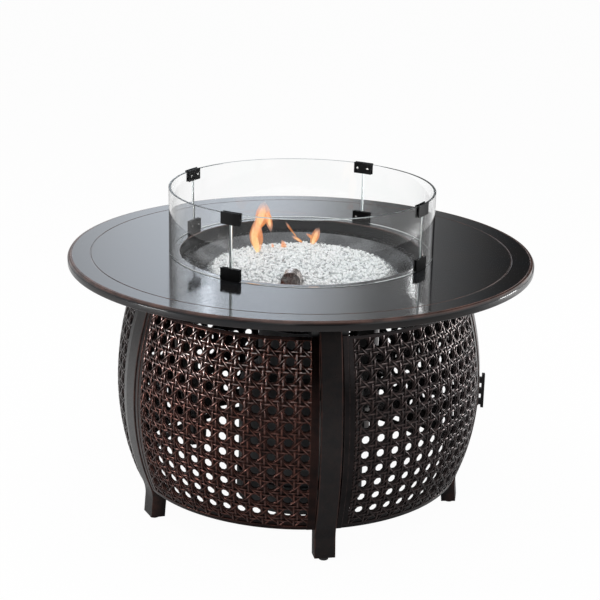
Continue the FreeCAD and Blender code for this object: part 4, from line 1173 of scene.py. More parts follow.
    def add_diagonal(self, shells: Shells, lean: Lean, line: float,
                     limits: tuple[float, float, float, float], section: np.ndarray) -> None:
        """Lay one diagonal strand, cut off at the edges of the weave.

        Args:
            shells: Where the strand goes.
            lean: The way it leans.
            line: Where it meets the level v = 0.
            limits: Lowest and highest u, lowest and highest v.
            section: Its cross-section.
        """
        left, right, floor, roof = limits
        if lean is Lean.RISING:
            low, high = max(floor, left - line), min(roof, right - line)
        else:
            low, high = max(floor, line - right), min(roof, line - left)
        if high - low < 0.2:
            return
        v = self.keys(low, high)
        u = line + lean.value * v
        wave = -np.cos(2.0 * math.pi * v) * lean.value * 0.95
        self.lay(shells, u, v, wave, section)

    def ring_points(self, column: int, row: int, lift: float, grow: float) -> np.ndarray:
        """Rounded eight-sided loop of a hole.

        Args:
            column: The cell across.
            row: The cell up.
            lift: Height above the surface in millimetres.
            grow: How much larger than the hole the loop is.

        Returns:
            The loop's places in metres.
        """
        points = np.arange(self.hole_points)
        turns = points * 2.0 * math.pi / self.hole_points
        reach = np.where(points % 2 == 0, 1.0, self.corner_reach) * (self.hole + grow)
        run = self.low_run + (row + 0.5) * self.level
        middle = self.barrel.place(np.array([run]), np.array([0.0]), 0.0)[0, :2]
        radius = float(np.linalg.norm(middle))
        width = radius / MM * math.radians(self.pitch)
        u = column + 0.5 + reach * np.cos(turns) / width
        v = row + 0.5 + reach * np.sin(turns) / self.level
        return self.spot(u, v, lift)

    def add_web(self, shells: Shells) -> None:
        """Add the pierced plate behind the strands as one closed shell.

        Args:
            shells: Where it goes.
        """
        steps = 4
        size = self.cells * steps
        back = -self.sheet
        corners = {}
        for side, lift in enumerate((self.web_face, back)):
            for up in range(size + 1):
                for across in range(size + 1):
                    if up % steps and across % steps:
                        continue
                    spot = self.spot(np.array([across / steps]), np.array([up / steps]), lift)
                    corners[side, across, up] = shells.add_points(spot, 0.0)
        border = [(4, 2), (4, 3), (4, 4), (3, 4), (2, 4), (1, 4), (0, 4), (0, 3), (0, 2), (0, 1),
                  (0, 0), (1, 0), (2, 0), (3, 0), (4, 0), (4, 1)]
        loops = ((self.web_face, 0.9, 0.15), (self.web_face - 0.8, 0.0, 0.45),
                 (back + 0.8, -self.draft, 0.0), (back, 0.3, 0.0))
        for row in range(self.cells):
            for column in range(self.cells):
                edges = [[corners[side, column * steps + x, row * steps + y] for x, y in border]
                         for side in (0, 1)]
                chain = [edges[0]]
                for lift, grow, wear in loops:
                    first = shells.add_points(self.ring_points(column, row, lift, grow), wear)
                    chain.append([first + index for index in range(self.hole_points)])
                chain.append(edges[1])
                for outer, inner in zip(chain, chain[1:]):
                    for index in range(self.hole_points):
                        after = (index + 1) % self.hole_points
                        shells.faces.append((outer[index], outer[after], inner[after],
                                             inner[index]))
        for step in range(size):
            for fixed in (0, size):
                for pair in (((step, fixed), (step + 1, fixed)),
                             ((fixed, step), (fixed, step + 1))):
                    (x0, y0), (x1, y1) = pair
                    shells.faces.append((corners[0, x0, y0], corners[0, x1, y1],
                                         corners[1, x1, y1], corners[1, x0, y0]))

    def add_bar(self, shells: Shells, u: np.ndarray, v: np.ndarray, width: float, high: float,
                wear: float = 1.0) -> None:
        """Add a plain bar of the edge frame.

        Args:
            shells: Where it goes.
            u: Places across along its middle.
            v: Places up along its middle.
            width: Its width in millimetres.
            high: Height of its face above the surface in millimetres.
            wear: Wear value along its edges.
        """
        section = box_section(width * MM, -self.sheet * MM, high * MM, 1.0 * MM, wear)
        shells.sweep(self.spot(u, v, 0.0), self.normal(u, v), section)

    def add_frame(self, shells: Shells) -> None:
        """Add the plain uprights beside the posts and the rails above and below.

        Args:
            shells: Where they go.
        """
        width = self.barrel.widest * math.radians(self.pitch)
        up = np.linspace(self.v_low, self.cells, 60)
        low_band = (self.stile_edge - self.u_low) * width
        for start, share, high in ((0.0, 0.5, self.edge_face), (0.5, 0.5, self.edge_face - 0.9)):
            middle = self.u_low + (start + share / 2.0) * low_band / width
            self.add_bar(shells, np.full_like(up, middle), up, low_band * share, high, 0.7)
        high_start = self.cells - self.far_stile
        band = (self.u_high - high_start) * width
        middle = (self.u_high + high_start) / 2.0
        self.add_bar(shells, np.full_like(up, middle), up, band, self.edge_face, 0.7)
        across = np.linspace(self.u_low + 0.02, self.u_high - 0.02, 60)
        self.add_bar(shells, across, np.full_like(across, self.cells - self.rail / 2.0),
                     self.rail * self.level, self.edge_face - 0.1, 0.7)
        foot = -self.plain_band - self.v_low
        self.add_bar(shells, across, np.full_like(across, self.v_low + foot / 2.0),
                     foot * self.level, self.edge_face - 0.1, 0.8)
        self.add_bar(shells, across, np.full_like(across, -self.plain_band / 2.0),
                     self.plain_band * self.level, self.web_face, 0.0)

    def build(self, name: str, finish: Finish, effects: Effects) -> bpy.types.Object:
        """Make the panel.

        Args:
            name: Name of the piece.
            finish: Its finish.
            effects: The shared effect groups.

        Returns:
            The panel's object.
        """
        shells = Shells()
        self.add_web(shells)
        self.add_strands(shells)
        self.add_frame(shells)
        return shells.build(name, finish, effects, sharp=50.0)


@dataclass
class Post:
    """Curved box-section post with a splayed foot."""

    azimuth: float
    barrel: Barrel = field(default_factory=Barrel)
    width: float = 49.0
    depth: float = 35.0
    proud: float = 2.0
    top: float = 612.0
    bend: float = 86.0
    bend_arc: float = 75.0
    splay: float = 5.0
    foot: float = 9.5
    bevel: float = 1.6
    steps: tuple[int, int, int] = (36, 28, 12)

    def centre_line(self) -> tuple[np.ndarray, np.ndarray]:
        """Follow the outer face down, on the +X side.

        Returns:
            The places in metres and their outward vectors.
        """
        shape = self.barrel
        upper_steps, lower_steps, bend_steps = self.steps
        places = []
        normals = []
        upper = shape.upper + self.proud
        lower = shape.lower + self.proud
        high = math.asin((self.top - shape.middle) / upper)
        low = math.asin((self.bend - shape.middle) / lower)
        for tilt in np.linspace(high, 0.0, upper_steps):
            places.append((shape.widest - shape.upper + upper * math.cos(tilt),
                           shape.middle + upper * math.sin(tilt)))
            normals.append((math.cos(tilt), math.sin(tilt)))
        for tilt in np.linspace(0.0, low, lower_steps)[1:]:
            places.append((shape.widest - shape.lower + lower * math.cos(tilt),
                           shape.middle + lower * math.sin(tilt)))
            normals.append((math.cos(tilt), math.sin(tilt)))
        reach = lower + self.bend_arc
        centre = (shape.widest - shape.lower + reach * math.cos(low),
                  shape.middle + reach * math.sin(low))
        for tilt in np.linspace(low, math.radians(self.splay), bend_steps)[1:]:
            places.append((centre[0] - self.bend_arc * math.cos(tilt),
                           centre[1] - self.bend_arc * math.sin(tilt)))
            normals.append((math.cos(tilt), math.sin(tilt)))
        across, height = places[-1]
        drop = height - self.foot
        lean = math.radians(self.splay)
        for share in (0.5, 0.97, 1.0):
            places.append((across + drop * share * math.tan(lean), height - drop * share))
            normals.append((math.cos(lean), math.sin(lean)))
        line = np.array([(x, 0.0, z) for x, z in places]) * MM
        return line, np.array([(x, 0.0, z) for x, z in normals])

    def build(self, name: str, effects: Effects) -> bpy.types.Object:
        """Make the post.

        Args:
            name: Name of the piece.
            effects: The shared effect groups.

        Returns:
            The post's object.
        """
        line, outward = self.centre_line()
        shells = Shells()
        section = box_section(self.width * MM, -self.depth * MM, 0.0, self.bevel * MM, 1.0)
        shells.sweep(line, outward, section)
        shells.move(self.azimuth)
        return shells.build(name, Finishes.POST, effects)


class Base(Assembly):
    """Posts, panels, hoop, brackets and glides, with the door panel on its own body."""

    FIXED = {1: (36.0, Finishes.CASTING_PLAIN), 2: (180.0, Finishes.CASTING_PLAIN),
             3: (252.0, Finishes.CASTING_PLAIN), 4: (324.0, Finishes.CASTING_RED)}
    DOOR_AZIMUTH = 108.0
    DOOR_HALF_ANGLE = 32.2
    POST_COUNT = 5

    def build(self, frame: dict) -> None:
        """Make every piece of the base.

        Args:
            frame: The loaded frame.
        """
        for number, (azimuth, finish) in self.FIXED.items():
            piece = CanePanel(azimuth).build(f"woven_panel_{number}", finish, self.effects)
            self.place(piece, "base", finish, f"cane_panel_{number}")
        panel = CanePanel(self.DOOR_AZIMUTH, half_angle=self.DOOR_HALF_ANGLE)
        door = panel.build("woven_door", Finishes.CASTING_PLAIN, self.effects)
        self.place(door, "door", Finishes.CASTING_PLAIN, "door_panel")
        for number in range(self.POST_COUNT):
            post = Post(360.0 / self.POST_COUNT * number)
            piece = post.build(f"satin_post_{number + 1}", self.effects)
            self.place(piece, "base", Finishes.POST, f"post_{number + 1}")
        self.dress(frame, Finishes.RING, "bottom_hoop", "top_ring")
        self.dress(frame, Finishes.SHEET, "panel_brackets", "door_hinge_leaves",
                   "post_hinge_leaves", "door_magnet", "door_strike")
        self.dress(frame, Finishes.SCREW, "bracket_screws", "table_bolts", "post_bolts",
                   "hinge_pins")
        self.dress(frame, Finishes.GLIDE,
                   *(f"foot_glide_{number + 1}" for number in range(self.POST_COUNT)))


# The top, the fire bowl and what is in it


@dataclass
class TopSizes:
    """Radii and heights of the tabletop in millimetres."""

    radius: float = 559.0
    height: float = 630.0
    groove: float = 503.0
    line: float = 549.0
    opening: float = 292.0
    ledge: float = 276.0
    ledge_low: float = 597.0
    ledge_high: float = 600.0
    sheet: float = 4.0
    rim_depth: float = 21.0
    rim_wall: float = 5.0
    collar_wall: float = 4.0
    rib_inner: float = 346.0
    rib_outer: float = 358.0
    rib_low: float = 616.0


class Top(Assembly):
    """Round tabletop with its engraved ring, rolled rim and collar."""

    sizes = TopSizes()

    def outline(self) -> list[tuple[float, float, float]]:
        """Draw the tabletop's outline, with wear on its worn lines, whose copper is partly a
        painted highlight along the edges.

        Returns:
            Radius, height and wear of each place, in millimetres.
        """
        size = self.sizes
        top = size.height
        under = top - size.sheet
        groove, line = size.groove, size.line
        rim_low = top - size.rim_depth
        rim_inner = size.radius - size.rim_wall
        collar = size.opening + size.collar_wall
        # The wear on the groove, the line, the rolled rim, the opening and the ledge lays copper
        # that is partly a painted highlight along these edges
        corners = [
            (size.opening, top, 2.0, 0.35), (collar, top, 0.0, 0.0),
            (groove - 0.8, top, 0.0, 0.0), (groove, top, 0.4, 0.55),
            (groove + 0.6, top - 1.2, 0.3, 0.1), (groove + 2.4, top - 1.2, 0.3, 0.1),
            (groove + 3.0, top, 0.4, 0.55), (groove + 3.8, top, 0.0, 0.0),
            (line - 1.2, top, 0.0, 0.0), (line, top, 0.4, 0.9), (line + 0.7, top - 1.3, 0.3, 0.3),
            (line + 1.4, top - 0.2, 0.4, 0.95), (size.radius - 3.4, top - 1.0, 3.0, 0.45),
            (size.radius, top - 6.5, 4.0, 0.0), (size.radius, rim_low, 3.0, 0.045),
            (rim_inner, rim_low, 1.0, 0.0), (rim_inner, under, 0.0, 0.0),
            (size.rib_outer, under, 0.0, 0.0), (size.rib_outer, size.rib_low, 0.0, 0.0),
            (size.rib_inner, size.rib_low, 0.0, 0.0), (size.rib_inner, under, 0.0, 0.0),
            (collar, under, 0.0, 0.0), (collar, size.ledge_low, 0.0, 0.0),
            (size.ledge, size.ledge_low, 0.0, 0.2), (size.ledge, size.ledge_high, 0.6, 0.5),
            (size.opening, size.ledge_high, 1.5, 0.0), (size.opening, under, 0.0, 0.0),
        ]
        return rounded(corners)

    def build(self, frame: dict) -> None:
        """Make the tabletop.

        Args:
            frame: The loaded frame; not used.
        """
        shells = Shells()
        shells.lathe(self.outline(), steps=288)
        piece = shells.build("gloss_tabletop", Finishes.TOP, self.effects, sharp=40.0)
        self.place(piece, "base", Finishes.TOP, "tabletop")


@dataclass
class BeadSizes:
    """Sizes of the bead bed in metres."""

    radius: float = 0.226
    edge: float = 0.583
    crown: float = 0.607
    bead: float = 0.0046
    pitch: float = 0.0080
    clear_rim: float = 0.012
    clear_share: float = 0.15
    layers: int = 2
    layer_step: float = 0.0055
    jitter: float = 0.0016
    lift_spread: float = 0.0018
    size_spread: Span = (0.82, 1.18)
    squash: Span = (0.78, 1.15)
    dent: float = 0.22
    hood_reach: Span = (0.140, 0.190)
    hood_half: float = 0.030
    bed_inset: float = 0.006
    bed_sink: float = 0.0085
    bed_low: float = 0.574
    seed: int = 7


@dataclass
class BowlSizes:
    """Radii and heights of the fire bowl in millimetres."""

    flange: float = 289.5
    flange_top: float = 602.0
    flange_under: float = 600.3
    mouth: float = 268.0
    floor_edge: float = 237.0
    floor: float = 570.0
    hole: float = 12.0
    sheet: float = 2.0
    slope_wall: float = 1.0


@dataclass
class HoodSizes:
    """Sizes of the pilot hood in millimetres; the profile is one half of its outline.

    Below a warm height the steel has its full heat tint, which fades out over the fade.
    """

    azimuth: float = -17.0
    mouth: float = 146.0
    back: float = 184.0
    back_sheet: float = 1.5
    base: float = 572.0
    crown: float = 624.5
    profile: tuple[Span, ...] = ((23.0, 572.0), (23.0, 603.0), (21.5, 610.0), (17.5, 617.5),
                                 (13.0, 621.5), (8.0, 624.0))
    inner_share: float = 0.93
    inner_drop: float = 0.035
    warm_cover: float = 596.0
    warm_back: float = 613.0
    fade: float = 22.0


class FireBowl(Assembly):
    """Fire bowl, burner, pilot hood and glass beads."""

    sizes = BeadSizes()
    bowl = BowlSizes()
    hood = HoodSizes()

    def crown_height(self, radius: np.ndarray | float) -> np.ndarray | float:
        """Return the height of the bead bed's surface at a radius."""
        size = self.sizes
        return size.edge + (size.crown - size.edge) * (1.0 - (radius / size.radius) ** 2)

    def build_bowl(self) -> None:
        """Make the fire bowl: flange, sloping wall and floor."""
        size = self.bowl
        floor_top = size.floor + size.sheet
        shells = Shells()
        shells.lathe(rounded([
            (size.flange, size.flange_top, 0.8, 0.3), (size.flange, size.flange_under, 0.0, 0.0),
            (size.mouth - size.slope_wall, size.flange_under, 2.0, 0.0),
            (size.floor_edge, size.floor, 6.0, 0.0), (size.hole, size.floor, 0.0, 0.0),
            (size.hole, floor_top, 0.0, 0.0),
            (size.floor_edge + size.slope_wall, floor_top, 8.0, 0.0),
            (size.mouth, size.flange_top, 1.0, 0.25),
        ]), steps=192)
        piece = shells.build("bowl_liner", Finishes.BOWL, self.effects)
        self.place(piece, "base", Finishes.BOWL, "fire_bowl")

    def build_hood(self) -> None:
        """Make the pilot hood: a bent sheet with sloping shoulders, open at its inner end."""
        size = self.hood
        outer = [(-across, height) for across, height in size.profile]
        outer += [(0.0, size.crown), *size.profile[::-1]]
        inner = [(across * size.inner_share, height - (height - size.base) * size.inner_drop)
                 for across, height in outer]
        shells = Shells()
        for front, loops, warm_to in ((size.mouth, outer + inner[::-1], size.warm_cover),
                                      (size.back - size.back_sheet, outer, size.warm_back)):
            rows = []
            for reach, drop in ((front, 1.0), ((front + size.back) / 2.0, 1.0),
                                (size.back - 0.8, 0.985), (size.back, 0.97)):
                rows.append([(reach, across * (0.5 + 0.5 * drop),
                              size.base + (height - size.base) * drop)
                             for across, height in loops])
            points = np.array(rows)
            cool = np.clip((points[..., 2] - warm_to) / size.fade, 0.0, 1.0)
            shells.add_grid(points * MM, cool)
        shells.move(size.azimuth)
        piece = shells.build("hood_sheet", Finishes.HOOD, self.effects)
        self.place(piece, "base", Finishes.HOOD, "pilot_hood")

    def bead_template(self) -> tuple[np.ndarray, np.ndarray]:
        """Make one unit bead.

        Returns:
            Its points and its faces.
        """
        shape = bmesh.new()
        bmesh.ops.create_icosphere(shape, subdivisions=1, radius=1.0)
        points = np.array([vertex.co for vertex in shape.verts])
        faces = np.array([[vertex.index for vertex in face.verts] for face in shape.faces])
        shape.free()
        return points, faces

    def bead_places(self, random: np.random.Generator) -> np.ndarray:
        """Scatter the beads over the bed, clear of the pilot hood.

        Args:
            random: The source of random numbers.

        Returns:
            The beads' middles in metres.
        """
        size = self.sizes
        hood = radial(self.hood.azimuth)
        side = np.array([-hood[1], hood[0], 0.0])
        places = []
        for layer in range(size.layers):
            count = int(size.radius / size.pitch) + 2
            for row in range(-count, count + 1):
                for column in range(-count, count + 1):
                    x = (column + 0.5 * (row % 2) + 0.5 * layer) * size.pitch
                    y = (row * 0.87 + 0.4 * layer) * size.pitch
                    shift = random.normal(0.0, size.jitter, 2)
                    spot = np.array([x, y, 0.0]) + np.append(shift, 0.0)
                    radius = float(np.linalg.norm(spot))
                    lift = random.normal(0.0, size.lift_spread)
                    if radius > size.radius - 0.004 + 0.010 * layer * random.random():
                        continue
                    reach, across = float(spot @ hood), float(spot @ side)
                    near, far = size.hood_reach
                    if near < reach < far and abs(across) < size.hood_half:
                        continue
                    spot[2] = self.crown_height(radius) - 0.001 - size.layer_step * layer + lift
                    places.append(spot)
        return np.array(places)

    def build_beads(self) -> None:
        """Pile glass beads on the bed: milky ones, and clear ones mainly along its rim."""
        sizes = self.sizes
        random = np.random.default_rng(sizes.seed)
        template, faces = self.bead_template()
        shells = Shells()
        reach = np.linspace(sizes.radius - sizes.bed_inset, 0.002, 14)
        crown = [(radius / MM, (self.crown_height(radius) - sizes.bed_sink) / MM, 0.0)
                 for radius in reach]
        low = sizes.bed_low / MM
        shells.lathe([*crown, (reach[-1] / MM, low, 0.0), (reach[0] / MM, low, 0.0)], steps=96)
        clear = Shells()
        for spot in self.bead_places(random):
            size = sizes.bead * random.uniform(*sizes.size_spread)
            shape = template * (size * random.uniform(*sizes.squash, 3))
            dent = random.normal(0.0, 1.0, 3)
            dent /= np.linalg.norm(dent)
            pressed = sizes.dent * np.clip(template @ dent, 0.0, 1.0) ** 2
            shape = shape * (1.0 - pressed)[:, None]
            spin = Matrix.Rotation(random.uniform(0.0, 6.28), 3, Vector(random.normal(0.0, 1.0, 3)))
            rim = float(np.linalg.norm(spot[:2])) > sizes.radius - sizes.clear_rim
            pile = clear if rim or random.random() < sizes.clear_share else shells
            first = pile.add_points(shape @ np.array(spin).T + spot, random.random())
            pile.faces += (faces + first).tolist()
        piece = shells.build("glass_beads", Finishes.BEAD, self.effects, sharp=60.0)
        self.place(piece, "base", Finishes.BEAD, "bead_bed")
        piece = clear.build("glass_beads_clear", Finishes.BEAD_CLEAR, self.effects, sharp=25.0)
        self.place(piece, "base", Finishes.BEAD_CLEAR)

    def build(self, frame: dict) -> None:
        """Make the bowl's pieces.

        Args:
            frame: The loaded frame.
        """
        self.build_bowl()
        self.build_beads()
        self.build_hood()
        self.dress(frame, Finishes.STEEL, "burner_ring")
        self.dress(frame, Finishes.CERAMIC, "spark_electrode")


@dataclass
class Tongue:
    """One tongue of flame: a flattened tube round a line in a plane that faces the camera.

    A knot is the way across, the height and the half width, in millimetres from the foot.
    """

    foot: tuple[float, float, float]
    knots: tuple[tuple[float, float, float], ...]
    depth: float = 0.55
    rings_per_knot: int = 6
    sides: int = 14
    thinnest: float = 0.15

    def add(self, shells: Shells, heading: tuple[float, float]) -> None:
        """Add the tongue's shell.

        Args:
            shells: Where it goes.
            heading: Way that the camera looks, as X and Y.
        """
        rows = np.array(self.knots)
        share = np.linspace(0.0, 1.0, self.rings_per_knot * len(rows))
        marks = np.linspace(0.0, 1.0, len(rows))
        bend = np.stack([smooth_curve(marks, rows[:, axis], share) for axis in range(3)], axis=1)
        ahead = np.array([*heading, 0.0])
        across = np.array([heading[1], -heading[0], 0.0])
        rise = np.array([0.0, 0.0, 1.0])
        line = np.array(self.foot) + (bend[:, :1] * across + bend[:, 1:2] * rise) * MM
        along = np.gradient(line, axis=0)
        along /= np.linalg.norm(along, axis=1, keepdims=True)
        side = np.cross(along, ahead)
        turns = np.linspace(0.0, 2.0 * math.pi, self.sides, endpoint=False)
        half = np.maximum(bend[:, 2], self.thinnest) * MM
        loops = (line[:, None, :]
                 + side[:, None, :] * (half[:, None] * np.cos(turns))[..., None]
                 + ahead * (half[:, None] * self.depth * np.sin(turns))[..., None])
        shells.add_grid(loops, np.repeat(share, len(turns)))


def smooth_curve(marks: np.ndarray, values: np.ndarray, places: np.ndarray, window: int = 5
                 ) -> np.ndarray:
    """Return values between knots, eased by a moving mean.

    Args:
        marks: Where the knots are.
        values: The value at each knot.
        places: Where values are wanted, evenly spaced.
        window: How many places the mean takes in, an odd number.

    Returns:
        A value for each place; the end values stay.
    """
    plain = np.interp(places, marks, values)
    padded = np.pad(plain, window // 2, mode="edge")
    eased = np.convolve(padded, np.full(window, 1.0 / window), mode="valid")
    eased[0], eased[-1] = values[0], values[-1]
    return eased


class Flames(Assembly):
    """Gas flames that stand on the bead bed."""

    MAIN = (-0.0948, 0.0770, 0.600)
    RIGHT = (0.0530, 0.1463, 0.600)
    WISP = (0.0335, 0.1673, 0.600)
    SMALL = (-0.0219, 0.1249, 0.600)
    SHELLS = (
        Tongue(MAIN, ((0, 0, 3), (-1, 17, 11), (-3, 33, 17), (-5, 51, 17), (-4, 70, 12),
                      (0, 88, 6), (2, 106, 0.3))),
        Tongue(MAIN, ((-5, 32, 4), (-4, 50, 7), (-1, 68, 9), (8, 88, 17), (13, 108, 18),
                      (12, 124, 10), (10, 136, 0.3))),
        Tongue(MAIN, ((18, 108, 8), (25, 90, 9), (29, 72, 7.5), (33, 53, 0.3))),
        Tongue(RIGHT, ((-1, 0, 4), (3, 10, 9), (8, 23, 11), (13, 37, 8), (16, 50, 0.3))),
        Tongue(RIGHT, ((0, 18, 4), (-8, 24, 4), (-17, 30, 0.3))),
        Tongue(WISP, ((0, 0, 2), (-11, 7, 4), (-21, 13, 4), (-31, 19, 0.3))),
        Tongue(WISP, ((-16, 14, 1), (-28, 29, 2.4), (-38, 43, 3.2), (-46, 55, 0.3))),
        Tongue(SMALL, ((0, 0, 7), (-1, 8, 7), (-4, 15, 4), (-6, 21, 0.3))),
        Tongue(SMALL, ((-28, 0, 3), (-29, 7, 3), (-31, 14, 0.3))),
    )
    CORES = (
        Tongue(MAIN, ((0, 0, 3), (-3, 18, 8), (-8, 36, 9), (-11, 52, 6), (-11, 66, 3),
                      (-8, 78, 0.3))),
        Tongue(MAIN, ((-4, 30, 1), (-4, 50, 4), (-2, 68, 6), (6, 90, 9), (12, 110, 8),
                      (12, 127, 0.3))),
        Tongue(MAIN, ((19, 104, 1), (25, 90, 4), (28, 76, 4), (31, 64, 0.3))),
        Tongue(RIGHT, ((1, 2, 2.5), (5, 14, 5), (10, 27, 5), (13, 40, 0.3))),
        Tongue(WISP, ((-8, 5, 1.5), (-16, 10, 2.2), (-24, 14, 0.3))),
    )

    def build(self, frame: dict) -> None:
        """Make the flames and their bright cores.

        Args:
            frame: The loaded frame; not used.
        """
        for name, tongues, finish in (("gas_flames", self.SHELLS, Finishes.FLAME),
                                      ("gas_flame_cores", self.CORES, Finishes.FLAME_CORE)):
            shells = Shells()
            for tongue in tongues:
                tongue.add(shells, Studio.CAMERA_HEADING)
            piece = shells.build(name, finish, self.effects, sharp=80.0)
            self.place(piece, "base", finish)


@dataclass
class PaneSizes:
    """Sizes of the wind guard's panes in millimetres and degrees."""

    outer: float = 318.7
    sheet: float = 6.0
    low: float = 630.3
    high: float = 785.3
    first: float = -39.5
    count: int = 4
    gap: float = 3.0
    bevel: float = 0.8
    margin: float = 1.5
    steps: int = 59


class Guard(Assembly):
    """Glass wind guard: panes with ground edges, clips and screws."""

    sizes = PaneSizes()

    def pane(self, number: int) -> Shells:
        """Work out the shell of one pane.

        Args:
            number: The pane, counted from 0.

        Returns:
            The shell.
        """
        size = self.sizes
        inner, cut = size.outer - size.sheet, size.bevel
        edge = ((size.outer, size.low + cut, 0.0), (size.outer, size.high - cut, 0.0),
                (size.outer - cut, size.high, 1.0), (inner + cut, size.high, 1.0),
                (inner, size.high - cut, 0.0), (inner, size.low + cut, 0.0),
                (inner + cut, size.low, 1.0), (size.outer - cut, size.low, 1.0))
        degree = math.degrees(1.0 / size.outer)
        turn = 360.0 / size.count
        start = size.first + number * turn + size.gap / 2.0 * degree
        end = start + turn - size.gap * degree
        middle = (size.outer + inner) / 2.0
        rows, wear = [], []
        ends = ((start, cut, 1.0), (start + cut * degree, 0.0, 1.0),
                (start + 2.0 * cut * degree, 0.0, 0.0))
        between = [(azimuth, 0.0, 0.0)
                   for azimuth in np.linspace(start + size.margin, end - size.margin, size.steps)]
        mirrored = [(start + end - azimuth, inset, ground) for azimuth, inset, ground in ends[::-1]]
        for azimuth, inset, ground in (*ends, *between, *mirrored):
            way = radial(float(azimuth))
            row = []
            for radius, height, rim in edge:
                radius += inset * (1.0 if radius < middle else -1.0) * 0.6
                row.append(way * radius * MM + np.array([0.0, 0.0, height * MM]))
                wear.append(max(ground, rim))
            rows.append(row)
        shells = Shells()
        shells.add_grid(np.array(rows), np.array(wear))
        return shells

    def build(self, frame: dict) -> None:
        """Make the panes and dress the clips and screws.

        Args:
            frame: The loaded frame.
        """
        for number in range(self.sizes.count):
            piece = self.pane(number).build(f"guard_pane_{number + 1}", Finishes.PANE, self.effects)
            self.place(piece, "wind_guard", Finishes.PANE, f"glass_pane_{number + 1}")
        self.dress(frame, Finishes.CLIP, "guard_clips_lower", "guard_clips_upper")
        self.dress(frame, Finishes.SCREW, "clip_screws")


class Fittings(Assembly):
    """Door handle, controls, gas tank and pipework."""

    def build(self, frame: dict) -> None:
        """Dress the fittings.

        Args:
            frame: The loaded frame.
        """
        self.dress(frame, Finishes.HANDLE, "door_handle", "handle_plate")
        self.dress(frame, Finishes.SHEET, "control_plate", "spark_igniter")
        self.dress(frame, Finishes.PLASTIC, "control_knob", "tank_handwheel")
        self.dress(frame, Finishes.BUTTON, "igniter_button")
        self.dress(frame, Finishes.BRASS, "gas_valve", "tank_valve")
        self.dress(frame, Finishes.TANK, "tank_shell", "tank_collar", "tank_foot_ring")
        # The black tank seat also darkens the floor under the tank: a dark sheet standing in for
        # the shade there (painted shade)
        self.dress(frame, Finishes.SHEET, "tank_seat")
        self.dress(frame, Finishes.PLASTIC, "coupling_nut")
        self.dress(frame, Finishes.REGULATOR, "regulator")
        self.dress(frame, Finishes.HOSE, "gas_hose")
        self.dress(frame, Finishes.PIPE, "feed_pipe")


# The studio


@dataclass
class Softbox:
    """A soft area lamp."""

    name: str
    place: tuple[float, float, float]
    aim: tuple[float, float, float]
    width: float
    height: float
    power: float


